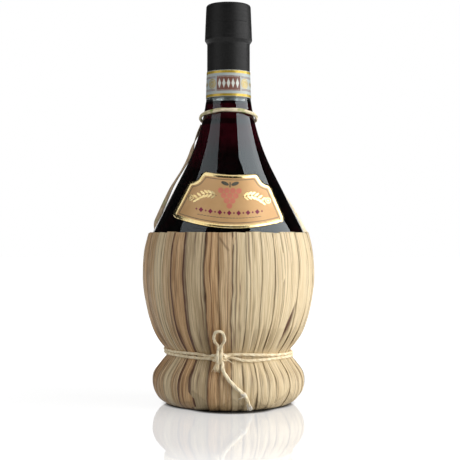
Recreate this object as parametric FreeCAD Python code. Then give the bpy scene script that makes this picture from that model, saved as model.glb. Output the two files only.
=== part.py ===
# Straw-covered wine flask. A round-bottomed glass flask stands in a skirt of
# dried straw blades that is drawn in at the waist by a tied cord and tucked
# under a straw foot ring. Millimetres, +Z up, origin on the table under the
# middle of the foot. The front, with the label and the bow, faces -Y.
import FreeCAD
import Part
import math
import os

V = FreeCAD.Vector
Z_AXIS = V(0, 0, 1)
ORIGIN = V(0, 0, 0)

# Glass flask
BODY_RADIUS = 53.0  # outside radius at the widest part
SHOULDER_RADIUS = 69.2  # profile arc above the widest part
CONE_ANGLE = 27.2  # straight shoulder, degrees from the vertical
NECK_FLARE = 140.0  # hollow profile arc from the shoulder into the neck
BELLY_RADIUS = 100.0  # flat profile arc below the widest part
BELLY_TURN = 14.0  # degrees of that arc
LOWER_RADIUS = 59.0  # rounder arc under it
LOWER_TURN = 48.0  # degrees below the level where the bottom cap begins
WALL = 2.4  # glass wall of the body
NECK_RADIUS = 13.1  # outside radius of the straight neck
BORE_RADIUS = 9.25  # corking bore
NECK_STRAIGHT = 17.5  # straight neck from the flare to the lip ring
LIP_STEP = 2.2  # height of the sloped underside of the lip ring
LIP_RADIUS = 14.6  # lip ring, widest
LIP_TOP_RADIUS = 13.7  # lip ring at the top
LIP_HEIGHT = 24.0  # lip ring, underside included
LIP_ROUND = 1.4  # rounding of the mouth, outside
MOUTH_ROUND = 0.7  # rounding of the mouth, inside

# Wine and cork
ULLAGE = 61.4  # from the mouth down to the wine
WINE_GAP = 0.15  # drawn clearance between wine and glass
CORK_LENGTH = 44.0
CORK_CLEARANCE = 0.05  # radial, in the bore
CORK_SINK = 0.8  # cork below the mouth
CORK_CHAMFER = 0.8

# Capsule
CAPSULE_WALL = 0.4
CAPSULE_GAP = 0.15  # film to glass
TEAR_DEPTH = 11.0  # tear line below the mouth
TEAR_GAP = 0.2
CAPSULE_LIP = 3.6  # turned-in top edge over the disc
DISC_THICKNESS = 0.4
DISC_GAP = 0.1
SLEEVE_TUCK = 3.0  # sleeve end under the paper band

# Paper band on the neck
BAND_DROP = 42.0  # band top below the mouth
BAND_HEIGHT = 16.8
BAND_PAPER = 0.2
PAPER_GAP = 0.1

# Front label
LABEL_RISE = 1.6  # middle of its lower edge above the straw rim
LABEL_HALF_WIDTH = 35.3
LABEL_CORNER_RISE = 6.4  # lower corners above the middle of the lower edge
LABEL_SHOULDER_RISE = 28.2
LABEL_SHOULDER_HALF = 25.2
LABEL_NOTCH_HALF = 20.4
LABEL_NOTCH_RISE = 29.0
LABEL_TOP_HALF = 16.4
LABEL_TOP_RISE = 34.9
LABEL_TOP_SAG = 1.6
LABEL_ROUND = 2.2  # rounding of all its corners
LABEL_PAPER = 0.25
LABEL_ROLL = 2.2  # set a little aslant, degrees
LABEL_TURN = 1.0  # and a little round to the right

# Straw skirt
BLADE_COUNT = 34
BLADE_THICKNESS = 0.6
BLADE_SPREAD = 0.3  # how far blade widths differ from their mean
BLADE_LAP = 1.0  # how far each blade reaches under or over its neighbours, degrees
LAYER_GAP = 0.2  # between the under blades and the upper ones
STRAW_GAP = 0.3  # skirt to glass on the belly
RIM_RISE = 26.0  # folded rim above the widest part
RIM_GAP = 1.4  # the rim stands off the glass for hoop and straps
GROOVE_RADIUS = 4.0  # hollow that the cord draws in between belly and foot
GROOVE_SLACK = 0.1  # play of that hollow on the belly
FLARE_SLACK = 2.2  # and on the foot, which leaves the flare straight
FOOT_RADIUS = 48.3
FOOT_SECTION = 12.6  # section radius of the straw ring that carries the glass
FOOT_GAP = 0.3  # foot ring to glass and blades
TUCK_LENGTH = 6.0  # flat tucked-in ends under the foot

# Hoop in the rim, carrying ring on the neck and its two straps
HOOP_DIAMETER = 0.6
HOOP_DROP = 3.0  # hoop below the top of the rim
RING_DROP = 13.0  # middle of the ring below the paper band
RING_THICKNESS = 1.5
RING_DEPTH = 2.6
RING_TILT = 12.0  # front edge up, degrees
RING_GAP = 0.2
STRAP_WIDTH = 3.0
STRAP_THICKNESS = 0.6
STRAP_SEAT = 0.2
STRAP_SPANS = 8  # straight stretches between ring and rim
LEFT_STRAP_BACK = 9.0  # straps at the rim, degrees behind the sides
RIGHT_STRAP_BACK = 10.0
LEFT_STRAP_TURN = 14.0  # how much further back they start at the ring
RIGHT_STRAP_TURN = 34.0

# Tied cord
CORD_DIAMETER = 1.8
CORD_GAP = 0.3  # cord to straw
CORD_PITCH = 2.35  # between neighbouring turns
CORD_TURNS = 2
KNOT_AZIMUTH = -6.5  # knot left of the front, degrees
KNOT_HALF_WIDTH = 3.3
KNOT_DEPTH = 4.3  # knot in front of the wound cord's middle
KNOT_LEAN = 28.0  # its top and bottom lean out, degrees
KNOT_COVER = 1.0  # knot above and below the cord that it takes in
KNOT_ROUND = 1.1
SEAT_GAP = 0.05
LOOP_HEIGHT = 14.6
LOOP_HALF_WIDTH = 2.9
LOOP_LEG = 1.5  # legs either side of the middle of the knot
TAIL_DIAMETER = 2.2
TAIL_SIDE = 1.5  # tail right of the middle of the knot
TAIL_LEAD = 3.8  # first run, straight out of the knot
TAIL_GAP = 0.5  # tail to straw
STUB_LENGTH = 6.5
STUB_END_DIAMETER = 2.9
WHIP_LENGTH = 2.0
WHIP_WALL = 0.45
WHIP_GAP = 0.08
TUFT_LENGTH = 5.6
TUFT_DIAMETER = 3.4


def rad(angle):
    return math.radians(angle)


def polar(centre, radius, angle):
    """Point of the profile plane at an angle on a circle."""
    return (centre[0] + radius * math.cos(rad(angle)), centre[1] + radius * math.sin(rad(angle)))


def at(radius, azimuth, z):
    """Point round the flask: azimuth 0 is the front, 90 the right-hand side."""
    return V(radius * math.sin(rad(azimuth)), -radius * math.cos(rad(azimuth)), z)


def outward(azimuth):
    return at(1.0, azimuth, 0)


def sideways(azimuth):
    return at(1.0, azimuth + 90, 0)


# Profiles are chains of tangent lines and arcs in the plane of radius and height
def line(start, end):
    return ("line", start, end)


def arc(centre, radius, start, end):
    return ("arc", centre, radius, start, end)


def shifted(chain, distance):
    """The chain moved to the left of its travel, or to the right if negative."""
    moved = []
    for piece in chain:
        if piece[0] == "line":
            (r0, z0), (r1, z1) = piece[1], piece[2]
            length = math.hypot(r1 - r0, z1 - z0)
            dr = -(z1 - z0) / length * distance
            dz = (r1 - r0) / length * distance
            moved.append(line((r0 + dr, z0 + dz), (r1 + dr, z1 + dz)))
        else:
            centre, radius, start, end = piece[1:]
            clockwise = 1 if end < start else -1
            moved.append(arc(centre, radius + clockwise * distance, start, end))
    return moved


def first(chain):
    piece = chain[0]
    return piece[1] if piece[0] == "line" else polar(piece[1], piece[2], piece[3])


def last(chain):
    piece = chain[-1]
    return piece[2] if piece[0] == "line" else polar(piece[1], piece[2], piece[4])


def spot(point):
    return V(point[0], 0, point[1])


def edge(piece):
    if piece[0] == "line":
        return Part.LineSegment(spot(piece[1]), spot(piece[2])).toShape()
    centre, radius, start, end = piece[1:]
    ends = [spot(polar(centre, radius, a)) for a in (start, (start + end) / 2, end)]
    return Part.Arc(*ends).toShape()


def face(chain):
    """Face inside a closed chain."""
    return Part.Face(Part.Wire([edge(piece) for piece in chain]))


def polygon(points):
    return [line(p, q) for p, q in zip(points, points[1:] + points[:1])]


def backwards(chain):
    turned = []
    for piece in reversed(chain):
        if piece[0] == "line":
            turned.append(line(piece[2], piece[1]))
        else:
            turned.append(arc(piece[1], piece[2], piece[4], piece[3]))
    return turned


def turned_solid(chain, start=0.0, sweep=360.0):
    """Solid of revolution of a closed chain, from one azimuth through a sweep."""
    shape = face(chain).revolve(ORIGIN, Z_AXIS, sweep)
    shape.rotate(ORIGIN, Z_AXIS, start - 90)
    return shape


def radius_at(chain, z):
    """Radius of an upward or downward chain at a height."""
    for piece in chain:
        ends = sorted([first([piece])[1], last([piece])[1]])
        if ends[0] <= z <= ends[1]:
            if piece[0] == "line":
                (r0, z0), (r1, z1) = piece[1], piece[2]
                return r0 + (r1 - r0) * (z - z0) / (z1 - z0)
            centre, radius, start, end = piece[1:]
            reach = math.sqrt(radius ** 2 - (z - centre[1]) ** 2)
            return centre[0] + (reach if math.cos(rad((start + end) / 2)) > 0 else -reach)
    return last(chain)[0]


# Blades lie in two layers. The foot ring stands on their tucked ends and fills the foot
layer_step = BLADE_THICKNESS + LAYER_GAP
skirt_depth = layer_step + BLADE_THICKNESS
foot_arc = FOOT_SECTION + FOOT_GAP + skirt_depth
foot_middle = (FOOT_RADIUS - foot_arc, foot_arc)


def bottom_arcs(inset, widest):
    """Centres of the arcs below the widest part, and the bottom cap's radius."""
    middle = (BODY_RADIUS - BELLY_RADIUS, widest)
    under = polar(middle, BELLY_RADIUS - LOWER_RADIUS, -BELLY_TURN)
    drop = -under[0] / math.cos(rad(LOWER_TURN))
    low = polar(under, drop, -LOWER_TURN)
    return middle, under, low, LOWER_RADIUS - drop - inset


# The glass rests in the foot ring, which sets the height of its widest part
cap_low, cap_radius = bottom_arcs(0.0, 0.0)[2:]
seat_reach = cap_radius + FOOT_GAP + FOOT_SECTION
body_z = foot_middle[1] + math.sqrt(seat_reach ** 2 - foot_middle[0] ** 2) - cap_low[1]


def flask_chain(inset, neck):
    """Profile of the flask from the axis at the bottom up to the neck."""
    middle, under, low, cap = bottom_arcs(inset, body_z)
    belly = BELLY_RADIUS - inset
    lower = LOWER_RADIUS - inset
    shoulder = SHOULDER_RADIUS - inset
    high = (BODY_RADIUS - SHOULDER_RADIUS, body_z)
    cone_low = polar(high, shoulder, CONE_ANGLE)
    cone_reach = neck + NECK_FLARE * (1 - math.cos(rad(CONE_ANGLE)))
    cone_top = cone_low[1] + (cone_low[0] - cone_reach) / math.tan(rad(CONE_ANGLE))
    root = (neck + NECK_FLARE, cone_top + NECK_FLARE * math.sin(rad(CONE_ANGLE)))
    return [
        arc((0.0, low[1]), cap, -90, -LOWER_TURN),
        arc(under, lower, -LOWER_TURN, -BELLY_TURN),
        arc(middle, belly, -BELLY_TURN, 0),
        arc(high, shoulder, 0, CONE_ANGLE),
        line(cone_low, (cone_reach, cone_top)),
        arc(root, NECK_FLARE, 180 + CONE_ANGLE, 180),
    ]


rim_z = body_z + RIM_RISE
glass_chain = flask_chain(0.0, NECK_RADIUS)
inner_chain = flask_chain(WALL, BORE_RADIUS)
wine_chain = flask_chain(WALL + WINE_GAP, BORE_RADIUS - WINE_GAP)
neck_root = last(glass_chain)[1]
lip_z = neck_root + NECK_STRAIGHT
mouth_z = lip_z + LIP_HEIGHT


def glass_radius(z):
    return radius_at(glass_chain, z)


# Glass flask: outer profile, lip ring, mouth, bore and inner profile
lip_chain = [
    line((NECK_RADIUS, neck_root), (NECK_RADIUS, lip_z)),
    line((NECK_RADIUS, lip_z), (LIP_RADIUS, lip_z + LIP_STEP)),
    line((LIP_RADIUS, lip_z + LIP_STEP), (LIP_TOP_RADIUS, mouth_z - LIP_ROUND)),
    arc((LIP_TOP_RADIUS - LIP_ROUND, mouth_z - LIP_ROUND), LIP_ROUND, 0, 90),
    line((LIP_TOP_RADIUS - LIP_ROUND, mouth_z), (BORE_RADIUS + MOUTH_ROUND, mouth_z)),
    arc((BORE_RADIUS + MOUTH_ROUND, mouth_z - MOUTH_ROUND), MOUTH_ROUND, 90, 180),
    line((BORE_RADIUS, mouth_z - MOUTH_ROUND), last(inner_chain)),
]
bottom_wall = [line(first(inner_chain), first(glass_chain))]
flask_outline = glass_chain + lip_chain + backwards(inner_chain) + bottom_wall

# Wine up to its level in the neck
wine_level = mouth_z - ULLAGE
wine_top = last(wine_chain)
wine_outline = wine_chain + [line(wine_top, (0.0, wine_top[1]))]
wine_outline.append(line((0.0, wine_top[1]), first(wine_chain)))

# Cork with chamfered ends
cork_top = mouth_z - CORK_SINK
cork_radius = BORE_RADIUS - CORK_CLEARANCE
cork_outline = polygon([
    (0.0, cork_top - CORK_LENGTH),
    (cork_radius - CORK_CHAMFER, cork_top - CORK_LENGTH),
    (cork_radius, cork_top - CORK_LENGTH + CORK_CHAMFER),
    (cork_radius, cork_top - CORK_CHAMFER),
    (cork_radius - CORK_CHAMFER, cork_top),
    (0.0, cork_top),
])

# Capsule: cap above the tear line, disc in its top, sleeve below the tear line
tear_z = mouth_z - TEAR_DEPTH
lip_slope = (LIP_RADIUS - LIP_TOP_RADIUS) / (LIP_HEIGHT - LIP_STEP - LIP_ROUND)
tear_radius = LIP_TOP_RADIUS + lip_slope * (TEAR_DEPTH - LIP_ROUND)
film = CAPSULE_GAP + CAPSULE_WALL
disc_low = mouth_z + DISC_GAP
disc_top = disc_low + DISC_THICKNESS
lip_under = disc_top + DISC_GAP
cap_top = lip_under + CAPSULE_WALL
cap_in = LIP_TOP_RADIUS + CAPSULE_GAP
cap_out = LIP_TOP_RADIUS + film
cap_round = LIP_ROUND + CAPSULE_WALL
cap_side = lip_under - LIP_ROUND
cap_corner = cap_in - LIP_ROUND
cap_edge = cap_corner - CAPSULE_LIP
cap_outline = [
    line((tear_radius + CAPSULE_GAP, tear_z), (tear_radius + film, tear_z)),
    line((tear_radius + film, tear_z), (cap_out, cap_side)),
    arc((cap_corner, cap_side), cap_round, 0, 90),
    line((cap_corner, cap_top), (cap_edge, cap_top)),
    line((cap_edge, cap_top), (cap_edge, lip_under)),
    line((cap_edge, lip_under), (cap_corner, lip_under)),
    arc((cap_corner, cap_side), LIP_ROUND, 90, 0),
    line((cap_in, cap_side), (tear_radius + CAPSULE_GAP, tear_z)),
]
disc_outline = polygon([(0.0, disc_low), (cap_corner, disc_low), (cap_corner, disc_top), (0.0, disc_top)])
band_top = mouth_z - BAND_DROP
band_low = band_top - BAND_HEIGHT
sleeve_low = band_top - SLEEVE_TUCK
sleeve_top = tear_z - TEAR_GAP
sleeve_radius = tear_radius + lip_slope * TEAR_GAP
sleeve_inside = [
    (sleeve_radius, sleeve_top),
    (LIP_RADIUS, lip_z + LIP_STEP),
    (NECK_RADIUS, lip_z),
    (NECK_RADIUS, max(sleeve_low, neck_root)),
]
if sleeve_low < neck_root:
    sleeve_inside.append((glass_radius(sleeve_low), sleeve_low))
sleeve_outline = polygon(
    [(r + CAPSULE_GAP, z) for r, z in sleeve_inside]
    + [(r + film, z) for r, z in reversed(sleeve_inside)]
)

# Paper band: a cone from the bare glass up over the end of the sleeve
band_high_in = max(NECK_RADIUS, glass_radius(sleeve_low)) + film + PAPER_GAP
band_low_in = glass_radius(band_low) + PAPER_GAP
band_outline = polygon([
    (band_low_in, band_low),
    (band_low_in + BAND_PAPER, band_low),
    (band_high_in + BAND_PAPER, band_top),
    (band_high_in, band_top),
])


def label_shape():
    """A paper skin on the shoulder, cut to the outline seen from the front."""
    skin = shifted(glass_chain[3:], -PAPER_GAP)
    cover = shifted(skin, -LABEL_PAPER)
    sheet = skin + [line(last(skin), last(cover))]
    sheet += backwards(cover) + [line(first(cover), first(skin))]
    shell = turned_solid(sheet, -90.0, 180.0)
    base = rim_z + LABEL_RISE
    corner = base + LABEL_CORNER_RISE
    right = [
        (LABEL_HALF_WIDTH, corner),
        (LABEL_SHOULDER_HALF, base + LABEL_SHOULDER_RISE),
        (LABEL_NOTCH_HALF, base + LABEL_NOTCH_RISE),
        (LABEL_TOP_HALF, base + LABEL_TOP_RISE),
    ]
    left = [(-x, z) for x, z in right]
    edges = [Part.Arc(spot(left[0]), V(0, 0, base), spot(right[0])).toShape()]
    for p, q in zip(right, right[1:]):
        edges.append(edge(line(p, q)))
    top = V(0, 0, base + LABEL_TOP_RISE - LABEL_TOP_SAG)
    edges.append(Part.Arc(spot(right[-1]), top, spot(left[-1])).toShape())
    for p, q in zip(reversed(left), list(reversed(left))[1:]):
        edges.append(edge(line(p, q)))
    reach = V(0, -2 * BODY_RADIUS, 0)
    cutter = Part.Face(Part.Wire(edges)).extrude(reach)
    corners = [e for e in cutter.Edges if e.tangentAt(e.FirstParameter).cross(reach).Length < 1e-6]
    cutter = cutter.makeFillet(LABEL_ROUND, corners)
    cutter.rotate(V(0, 0, base + LABEL_TOP_RISE / 2), V(0, 1, 0), LABEL_ROLL)
    shape = shell.common(cutter)
    shape.rotate(ORIGIN, Z_AXIS, LABEL_TURN)
    return shape


# Straw skirt: one profile from the folded rim over the belly, in to the waist,
# out to the foot and flat under it
skin_out = STRAW_GAP + skirt_depth
belly_out = BODY_RADIUS + skin_out
rim_out = glass_radius(rim_z) + RIM_GAP + skirt_depth
rim_arc = (RIM_RISE ** 2 + (belly_out - rim_out) ** 2) / (2 * (belly_out - rim_out))
belly_arc = glass_chain[2]
lower_arc = glass_chain[1]
lower_out = lower_arc[2] + skin_out


def meeting(one, one_radius, two, two_radius):
    """Outer crossing of two circles, given the higher one first."""
    dr = two[0] - one[0]
    dz = two[1] - one[1]
    apart = math.hypot(dr, dz)
    along = (apart ** 2 + one_radius ** 2 - two_radius ** 2) / (2 * apart)
    across = math.sqrt(one_radius ** 2 - along ** 2)
    return (
        one[0] + (dr * along - dz * across) / apart,
        one[1] + (dz * along + dr * across) / apart,
    )


# The cord's hollow lies in the valley between the belly and the foot
belly_reach = lower_out + GROOVE_RADIUS + GROOVE_SLACK
foot_reach = foot_arc + GROOVE_RADIUS + FLARE_SLACK
groove = meeting(lower_arc[1], belly_reach, foot_middle, foot_reach)
waist_z = groove[1]


def straight_between(start, start_radius, end, end_radius, outside_first):
    """Direction of the line that touches two circles on opposite sides."""
    dr = end[0] - start[0]
    dz = end[1] - start[1]
    reach = start_radius + end_radius
    lean = math.degrees(math.atan2(reach, math.sqrt(dr * dr + dz * dz - reach * reach)))
    heading = math.degrees(math.atan2(dz, dr))
    return heading - lean if outside_first else heading + lean


down = straight_between(lower_arc[1], lower_out, groove, GROOVE_RADIUS, True)
flare = straight_between(groove, GROOVE_RADIUS, foot_middle, foot_arc, False)
rim_turn = math.degrees(math.asin(RIM_RISE / rim_arc))
skirt_chain = [
    arc((belly_out - rim_arc, body_z), rim_arc, rim_turn, 0),
    arc(belly_arc[1], belly_arc[2] + skin_out, 0, -BELLY_TURN),
    arc(lower_arc[1], lower_out, -BELLY_TURN, down + 90),
    line(polar(lower_arc[1], lower_out, down + 90), polar(groove, GROOVE_RADIUS, down - 90)),
    arc(groove, GROOVE_RADIUS, down - 90, flare - 90),
    line(polar(groove, GROOVE_RADIUS, flare - 90), polar(foot_middle, foot_arc, flare + 90)),
    arc(foot_middle, foot_arc, flare + 90, -90),
    line((foot_middle[0], 0.0), (foot_middle[0] - TUCK_LENGTH, 0.0)),
]


def skirt_radius(z):
    return radius_at(skirt_chain, z)


def blade_outline(depth):
    """Closed section of a blade at a depth in the skirt, with its folded top edge."""
    outside = shifted(skirt_chain, -depth)
    inside = shifted(outside, -BLADE_THICKNESS)
    outer = first(outside)
    inner = first(inside)
    middle = ((outer[0] + inner[0]) / 2, (outer[1] + inner[1]) / 2)
    fold = arc(middle, BLADE_THICKNESS / 2, rim_turn + 180, rim_turn)
    return [fold] + outside + [line(last(outside), last(inside))] + backwards(inside)


def blade_widths():
    """Uneven widths that add up to a full turn."""
    uneven = [1 + BLADE_SPREAD * math.sin(2.4 * i + 1.3 * math.sin(1.7 * i)) for i in range(BLADE_COUNT)]
    return [360.0 * width / sum(uneven) for width in uneven]


# Wound and free cords
def frame_arc(start, tangent, end):
    """Arc that leaves a point along a tangent and ends at another point."""
    chord = end - start
    along = V(chord).normalize()
    bow = tangent - along * tangent.dot(along)
    half = tangent.getAngle(along)
    middle = start + chord * 0.5
    if half > 1e-6:
        middle = middle + bow.normalize() * (chord.Length / 2 * math.tan(half / 2))
    return middle


def biarc(start, leave, end, arrive):
    """Two tangent arcs between two points with given directions."""
    chord = end - start
    both_ways = leave + arrive
    spread = 2 * (1 - leave.dot(arrive))
    pull = chord.dot(both_ways)
    reach = (-pull + math.sqrt(pull * pull + spread * chord.dot(chord))) / spread
    joint = (start + end + (leave - arrive) * reach) * 0.5
    one = Part.Arc(start, frame_arc(start, leave, joint), joint).toShape()
    two = Part.Arc(joint, frame_arc(end, arrive * -1, joint), end).toShape()
    return [one, two]


def tube(edges, diameter):
    """Solid tube along a tangent chain of edges."""
    path = Part.Wire(edges)
    begin = edges[0].FirstParameter
    circle = Part.Circle(edges[0].valueAt(begin), edges[0].tangentAt(begin), diameter / 2)
    solid = path.makePipeShell([Part.Wire(circle.toShape())], True, False)
    ratio = solid.Volume / (math.pi * diameter ** 2 / 4 * path.Length)
    print("tube length %.1f, volume over section times length %.4f" % (path.Length, ratio))
    return solid


def cord_route(points, name):
    """Straight runs joined by the largest tangent arcs that they allow."""
    edges = []
    radii = []
    here = points[0]
    for before, corner, after in zip(points, points[1:], points[2:]):
        into = V(corner - before).normalize()
        out = V(after - corner).normalize()
        half_turn = into.getAngle(out) / 2
        cut = 0.45 * min((corner - before).Length, (after - corner).Length)
        radius = cut / math.tan(half_turn)
        inward = V(out - into).normalize()
        apex = corner + inward * (radius / math.cos(half_turn) - radius)
        start = corner - into * cut
        end = corner + out * cut
        edges.append(Part.LineSegment(here, start).toShape())
        edges.append(Part.Arc(start, apex, end).toShape())
        radii.append(round(radius, 1))
        here = end
    edges.append(Part.LineSegment(here, points[-1]).toShape())
    print("%s radii %s" % (name, radii))
    return edges


cord_hug = GROOVE_RADIUS - CORD_GAP - CORD_DIAMETER / 2


def cord_radius(level):
    """Middle of the wound cord where it lies in the groove."""
    return groove[0] - math.sqrt(cord_hug ** 2 - level ** 2)


wind_half = math.degrees((KNOT_HALF_WIDTH + SEAT_GAP + CORD_DIAMETER) / cord_radius(CORD_PITCH))
wind_sweep = 360.0 * CORD_TURNS - 2 * wind_half
wind_start = KNOT_AZIMUTH + wind_half


def wound_point(share):
    level = CORD_PITCH * CORD_TURNS / 2 * (1 - 2 * share)
    return at(cord_radius(level), wind_start + wind_sweep * share, waist_z + level)


def wound_tangent(share):
    step = 1e-4
    return (wound_point(share + step) - wound_point(share - step)).normalize()


def waist_cord_shape():
    """Two turns of cord laid in the groove, from one side of the knot to the other."""
    spans = 4 * CORD_TURNS
    knots = [i / spans for i in range(spans + 1)]
    edges = []
    for a, b in zip(knots, knots[1:]):
        edges += biarc(wound_point(a), wound_tangent(a), wound_point(b), wound_tangent(b))
    begin = wound_point(0.0)
    end = wound_point(1.0)
    lead = begin - wound_tangent(0.0) * CORD_DIAMETER
    trail = end + wound_tangent(1.0) * CORD_DIAMETER
    edges.insert(0, Part.LineSegment(lead, begin).toShape())
    edges.append(Part.LineSegment(end, trail).toShape())
    count = 200 * CORD_TURNS
    samples = [wound_point(i / count) for i in range(count + 1)]
    most_of_a_turn = 140
    least = min((p - q).Length for i, p in enumerate(samples) for q in samples[i + most_of_a_turn:])
    print("least gap of the wound cord to itself %.2f" % (least - CORD_DIAMETER))
    return tube(edges, CORD_DIAMETER)


# Knot: a rounded lump over the passing turn, with side faces square to the cord's
# ends and top and bottom faces square to the loop and the tail
knot_front = cord_radius(CORD_PITCH) + KNOT_DEPTH
knot_back = cord_radius(CORD_PITCH) - CORD_DIAMETER / 2
pass_half = CORD_DIAMETER / 2 + CORD_GAP
pass_front = cord_radius(0.0) + pass_half
knot_crest = (knot_back + CORD_DIAMETER, CORD_PITCH + CORD_DIAMETER / 2 + KNOT_COVER)
knot_slope = math.tan(rad(KNOT_LEAN))


def knot_outline():
    upper = [
        (pass_front, pass_half),
        (knot_back, pass_half),
        (knot_back, CORD_PITCH),
        knot_crest,
        (knot_front, knot_crest[1] - (knot_front - knot_crest[0]) * knot_slope),
    ]
    lower = [(r, -z) for r, z in reversed(upper)]
    return polygon([(r, waist_z + z) for r, z in upper + lower])


def knot_shape():
    blank = turned_solid(knot_outline(), KNOT_AZIMUTH - 2 * wind_half, 4 * wind_half)
    begin = wound_point(0.0) - wound_tangent(0.0) * (CORD_DIAMETER + SEAT_GAP)
    end = wound_point(1.0) + wound_tangent(1.0) * (CORD_DIAMETER + SEAT_GAP)
    size = 6 * KNOT_DEPTH
    for point, normal in ((begin, wound_tangent(0.0)), (end, wound_tangent(1.0) * -1)):
        flat = Part.makePlane(2 * size, 2 * size, V(-size, -size, 0))
        block = flat.extrude(V(0, 0, size))
        block.Placement = FreeCAD.Placement(point, FreeCAD.Rotation(Z_AXIS, normal))
        blank = blank.cut(block)
    rims = []
    for e in blank.Edges:
        middle = e.valueAt((e.FirstParameter + e.LastParameter) / 2)
        if math.hypot(middle.x, middle.y) > knot_front - KNOT_ROUND / 4:
            rims.append(e)
    return blank.makeFillet(KNOT_ROUND, rims)


def knot_face(upward, side):
    """Point on the middle of the knot's leaning face, and the way out of it."""
    sign = 1 if upward else -1
    out = (knot_front - knot_crest[0]) / 2
    r = knot_crest[0] + out
    z = waist_z + sign * (knot_crest[1] - out * knot_slope)
    way = outward(KNOT_AZIMUTH) * math.sin(rad(KNOT_LEAN)) + Z_AXIS * sign * math.cos(rad(KNOT_LEAN))
    point = outward(KNOT_AZIMUTH) * r + sideways(KNOT_AZIMUTH) * side + Z_AXIS * z
    return point + way * SEAT_GAP, way


def loop_shape():
    """Bow loop that stands up from the knot and leans along the belly."""
    foot, way = knot_face(True, 0.0)
    side = sideways(KNOT_AZIMUTH)
    half = [
        (LOOP_LEG, 0.0),
        (LOOP_LEG * 1.04, LOOP_HEIGHT * 0.19),
        (LOOP_HALF_WIDTH, LOOP_HEIGHT * 0.47),
        (LOOP_HALF_WIDTH * 0.97, LOOP_HEIGHT * 0.73),
        (LOOP_HALF_WIDTH * 0.5, LOOP_HEIGHT),
    ]
    points = [foot - side * s + way * u for s, u in half]
    points += [foot + side * s + way * u for s, u in reversed(half)]
    return tube(cord_route(points, "bow loop"), CORD_DIAMETER)


def beside_skirt(azimuth, z, clear):
    return at(skirt_radius(z) + clear, azimuth, z)


# Free tail: it lies down the foot to the right and its end hangs past the foot
tail_start, tail_way = knot_face(False, TAIL_SIDE)
tail_clear = TAIL_DIAMETER / 2 + TAIL_GAP
foot_front = FOOT_RADIUS + tail_clear
tail_points = [
    tail_start,
    tail_start + tail_way * TAIL_LEAD,
    beside_skirt(-0.8, 20.8, tail_clear + 0.5),
    beside_skirt(4.0, 16.2, tail_clear + 0.3),
    at(foot_front + 0.2, 8.8, 12.6),
    at(foot_front + 0.1, 12.2, 9.4),
    at(foot_front - 0.3, 13.6, 6.4),
]


def tail_shape():
    return tube(cord_route(tail_points, "tail"), TAIL_DIAMETER)


def whipping_shape():
    """Thread wrapped round the tail above its frayed end."""
    run_start, run_end = tail_points[-3], tail_points[-2]
    along = V(run_end - run_start).normalize()
    middle = (run_start + run_end) * 0.5 - along * (WHIP_LENGTH / 2)
    inside = TAIL_DIAMETER / 2 + WHIP_GAP
    sleeve = Part.makeCylinder(inside + WHIP_WALL, WHIP_LENGTH, middle, along)
    return sleeve.cut(Part.makeCylinder(inside, WHIP_LENGTH, middle, along))


def tuft_shape():
    """Frayed end that hangs from the tail and spreads."""
    along = V(tail_points[-1] - tail_points[-2]).normalize()
    start = tail_points[-1] + along * SEAT_GAP
    return Part.makeCone(TAIL_DIAMETER / 2, TUFT_DIAMETER / 2, TUFT_LENGTH, start, along)


def stub_shape():
    """Short cut end beside the tail, frayed wider."""
    start, way = knot_face(False, -TAIL_SIDE)
    return Part.makeCone(CORD_DIAMETER / 2, STUB_END_DIAMETER / 2, STUB_LENGTH, start, way)


# Carrying ring on the neck: an oval straw strand, tilted and pushed back against the glass
ring_z = band_low - RING_DROP
ring_lift = glass_radius(ring_z) * math.sin(rad(RING_TILT))


def ring_reach(z, tilt):
    """Where the middle of the strand clears the glass at a height, on the tilted ring."""
    slope = math.degrees(math.atan((glass_radius(z - 1) - glass_radius(z + 1)) / 2))
    half = math.hypot(RING_THICKNESS / 2, RING_DEPTH / 2 * math.tan(rad(slope + tilt)))
    return glass_radius(z) + half + RING_GAP


ring_back = ring_reach(ring_z - ring_lift, RING_TILT)
ring_front = ring_reach(ring_z + ring_lift, -RING_TILT)
ring_push = (ring_back - ring_front) / 2
ring_radius = (ring_back + ring_front) / 2 / math.cos(rad(RING_TILT))


def neck_ring_shape():
    middle = V(ring_radius, 0, 0)
    oval = Part.Ellipse(middle + Z_AXIS * (RING_DEPTH / 2), middle + V(RING_THICKNESS / 2, 0, 0), middle)
    section = Part.Face(Part.Wire(oval.toShape()))
    shape = section.revolve(ORIGIN, Z_AXIS, 360)
    shape.rotate(ORIGIN, V(1, 0, 0), -RING_TILT)
    shape.translate(V(0, ring_push, ring_z))
    return shape


def ring_point(azimuth):
    """Middle of the ring's strand at an azimuth of the untilted ring."""
    flat = at(ring_radius, azimuth, 0)
    tilted = FreeCAD.Rotation(V(1, 0, 0), -RING_TILT).multVec(flat)
    return tilted + V(0, ring_push, ring_z)


def behind_rim(z):
    """Middle of the gap between the glass and the skirt."""
    return (glass_radius(z) + skirt_radius(z) - skirt_depth) / 2


hoop_z = rim_z - HOOP_DROP
hoop_radius = behind_rim(hoop_z)


def off_glass(point):
    """The point, moved out where the shoulder would reach into the strap."""
    flat = V(point.x, point.y, 0)
    lean = math.cos(rad(CONE_ANGLE))
    clear = glass_radius(point.z) + (STRAP_THICKNESS / 2 + 2 * STRAP_SEAT) / lean
    return flat * (max(flat.Length, clear) / flat.Length) + V(0, 0, point.z)


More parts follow.
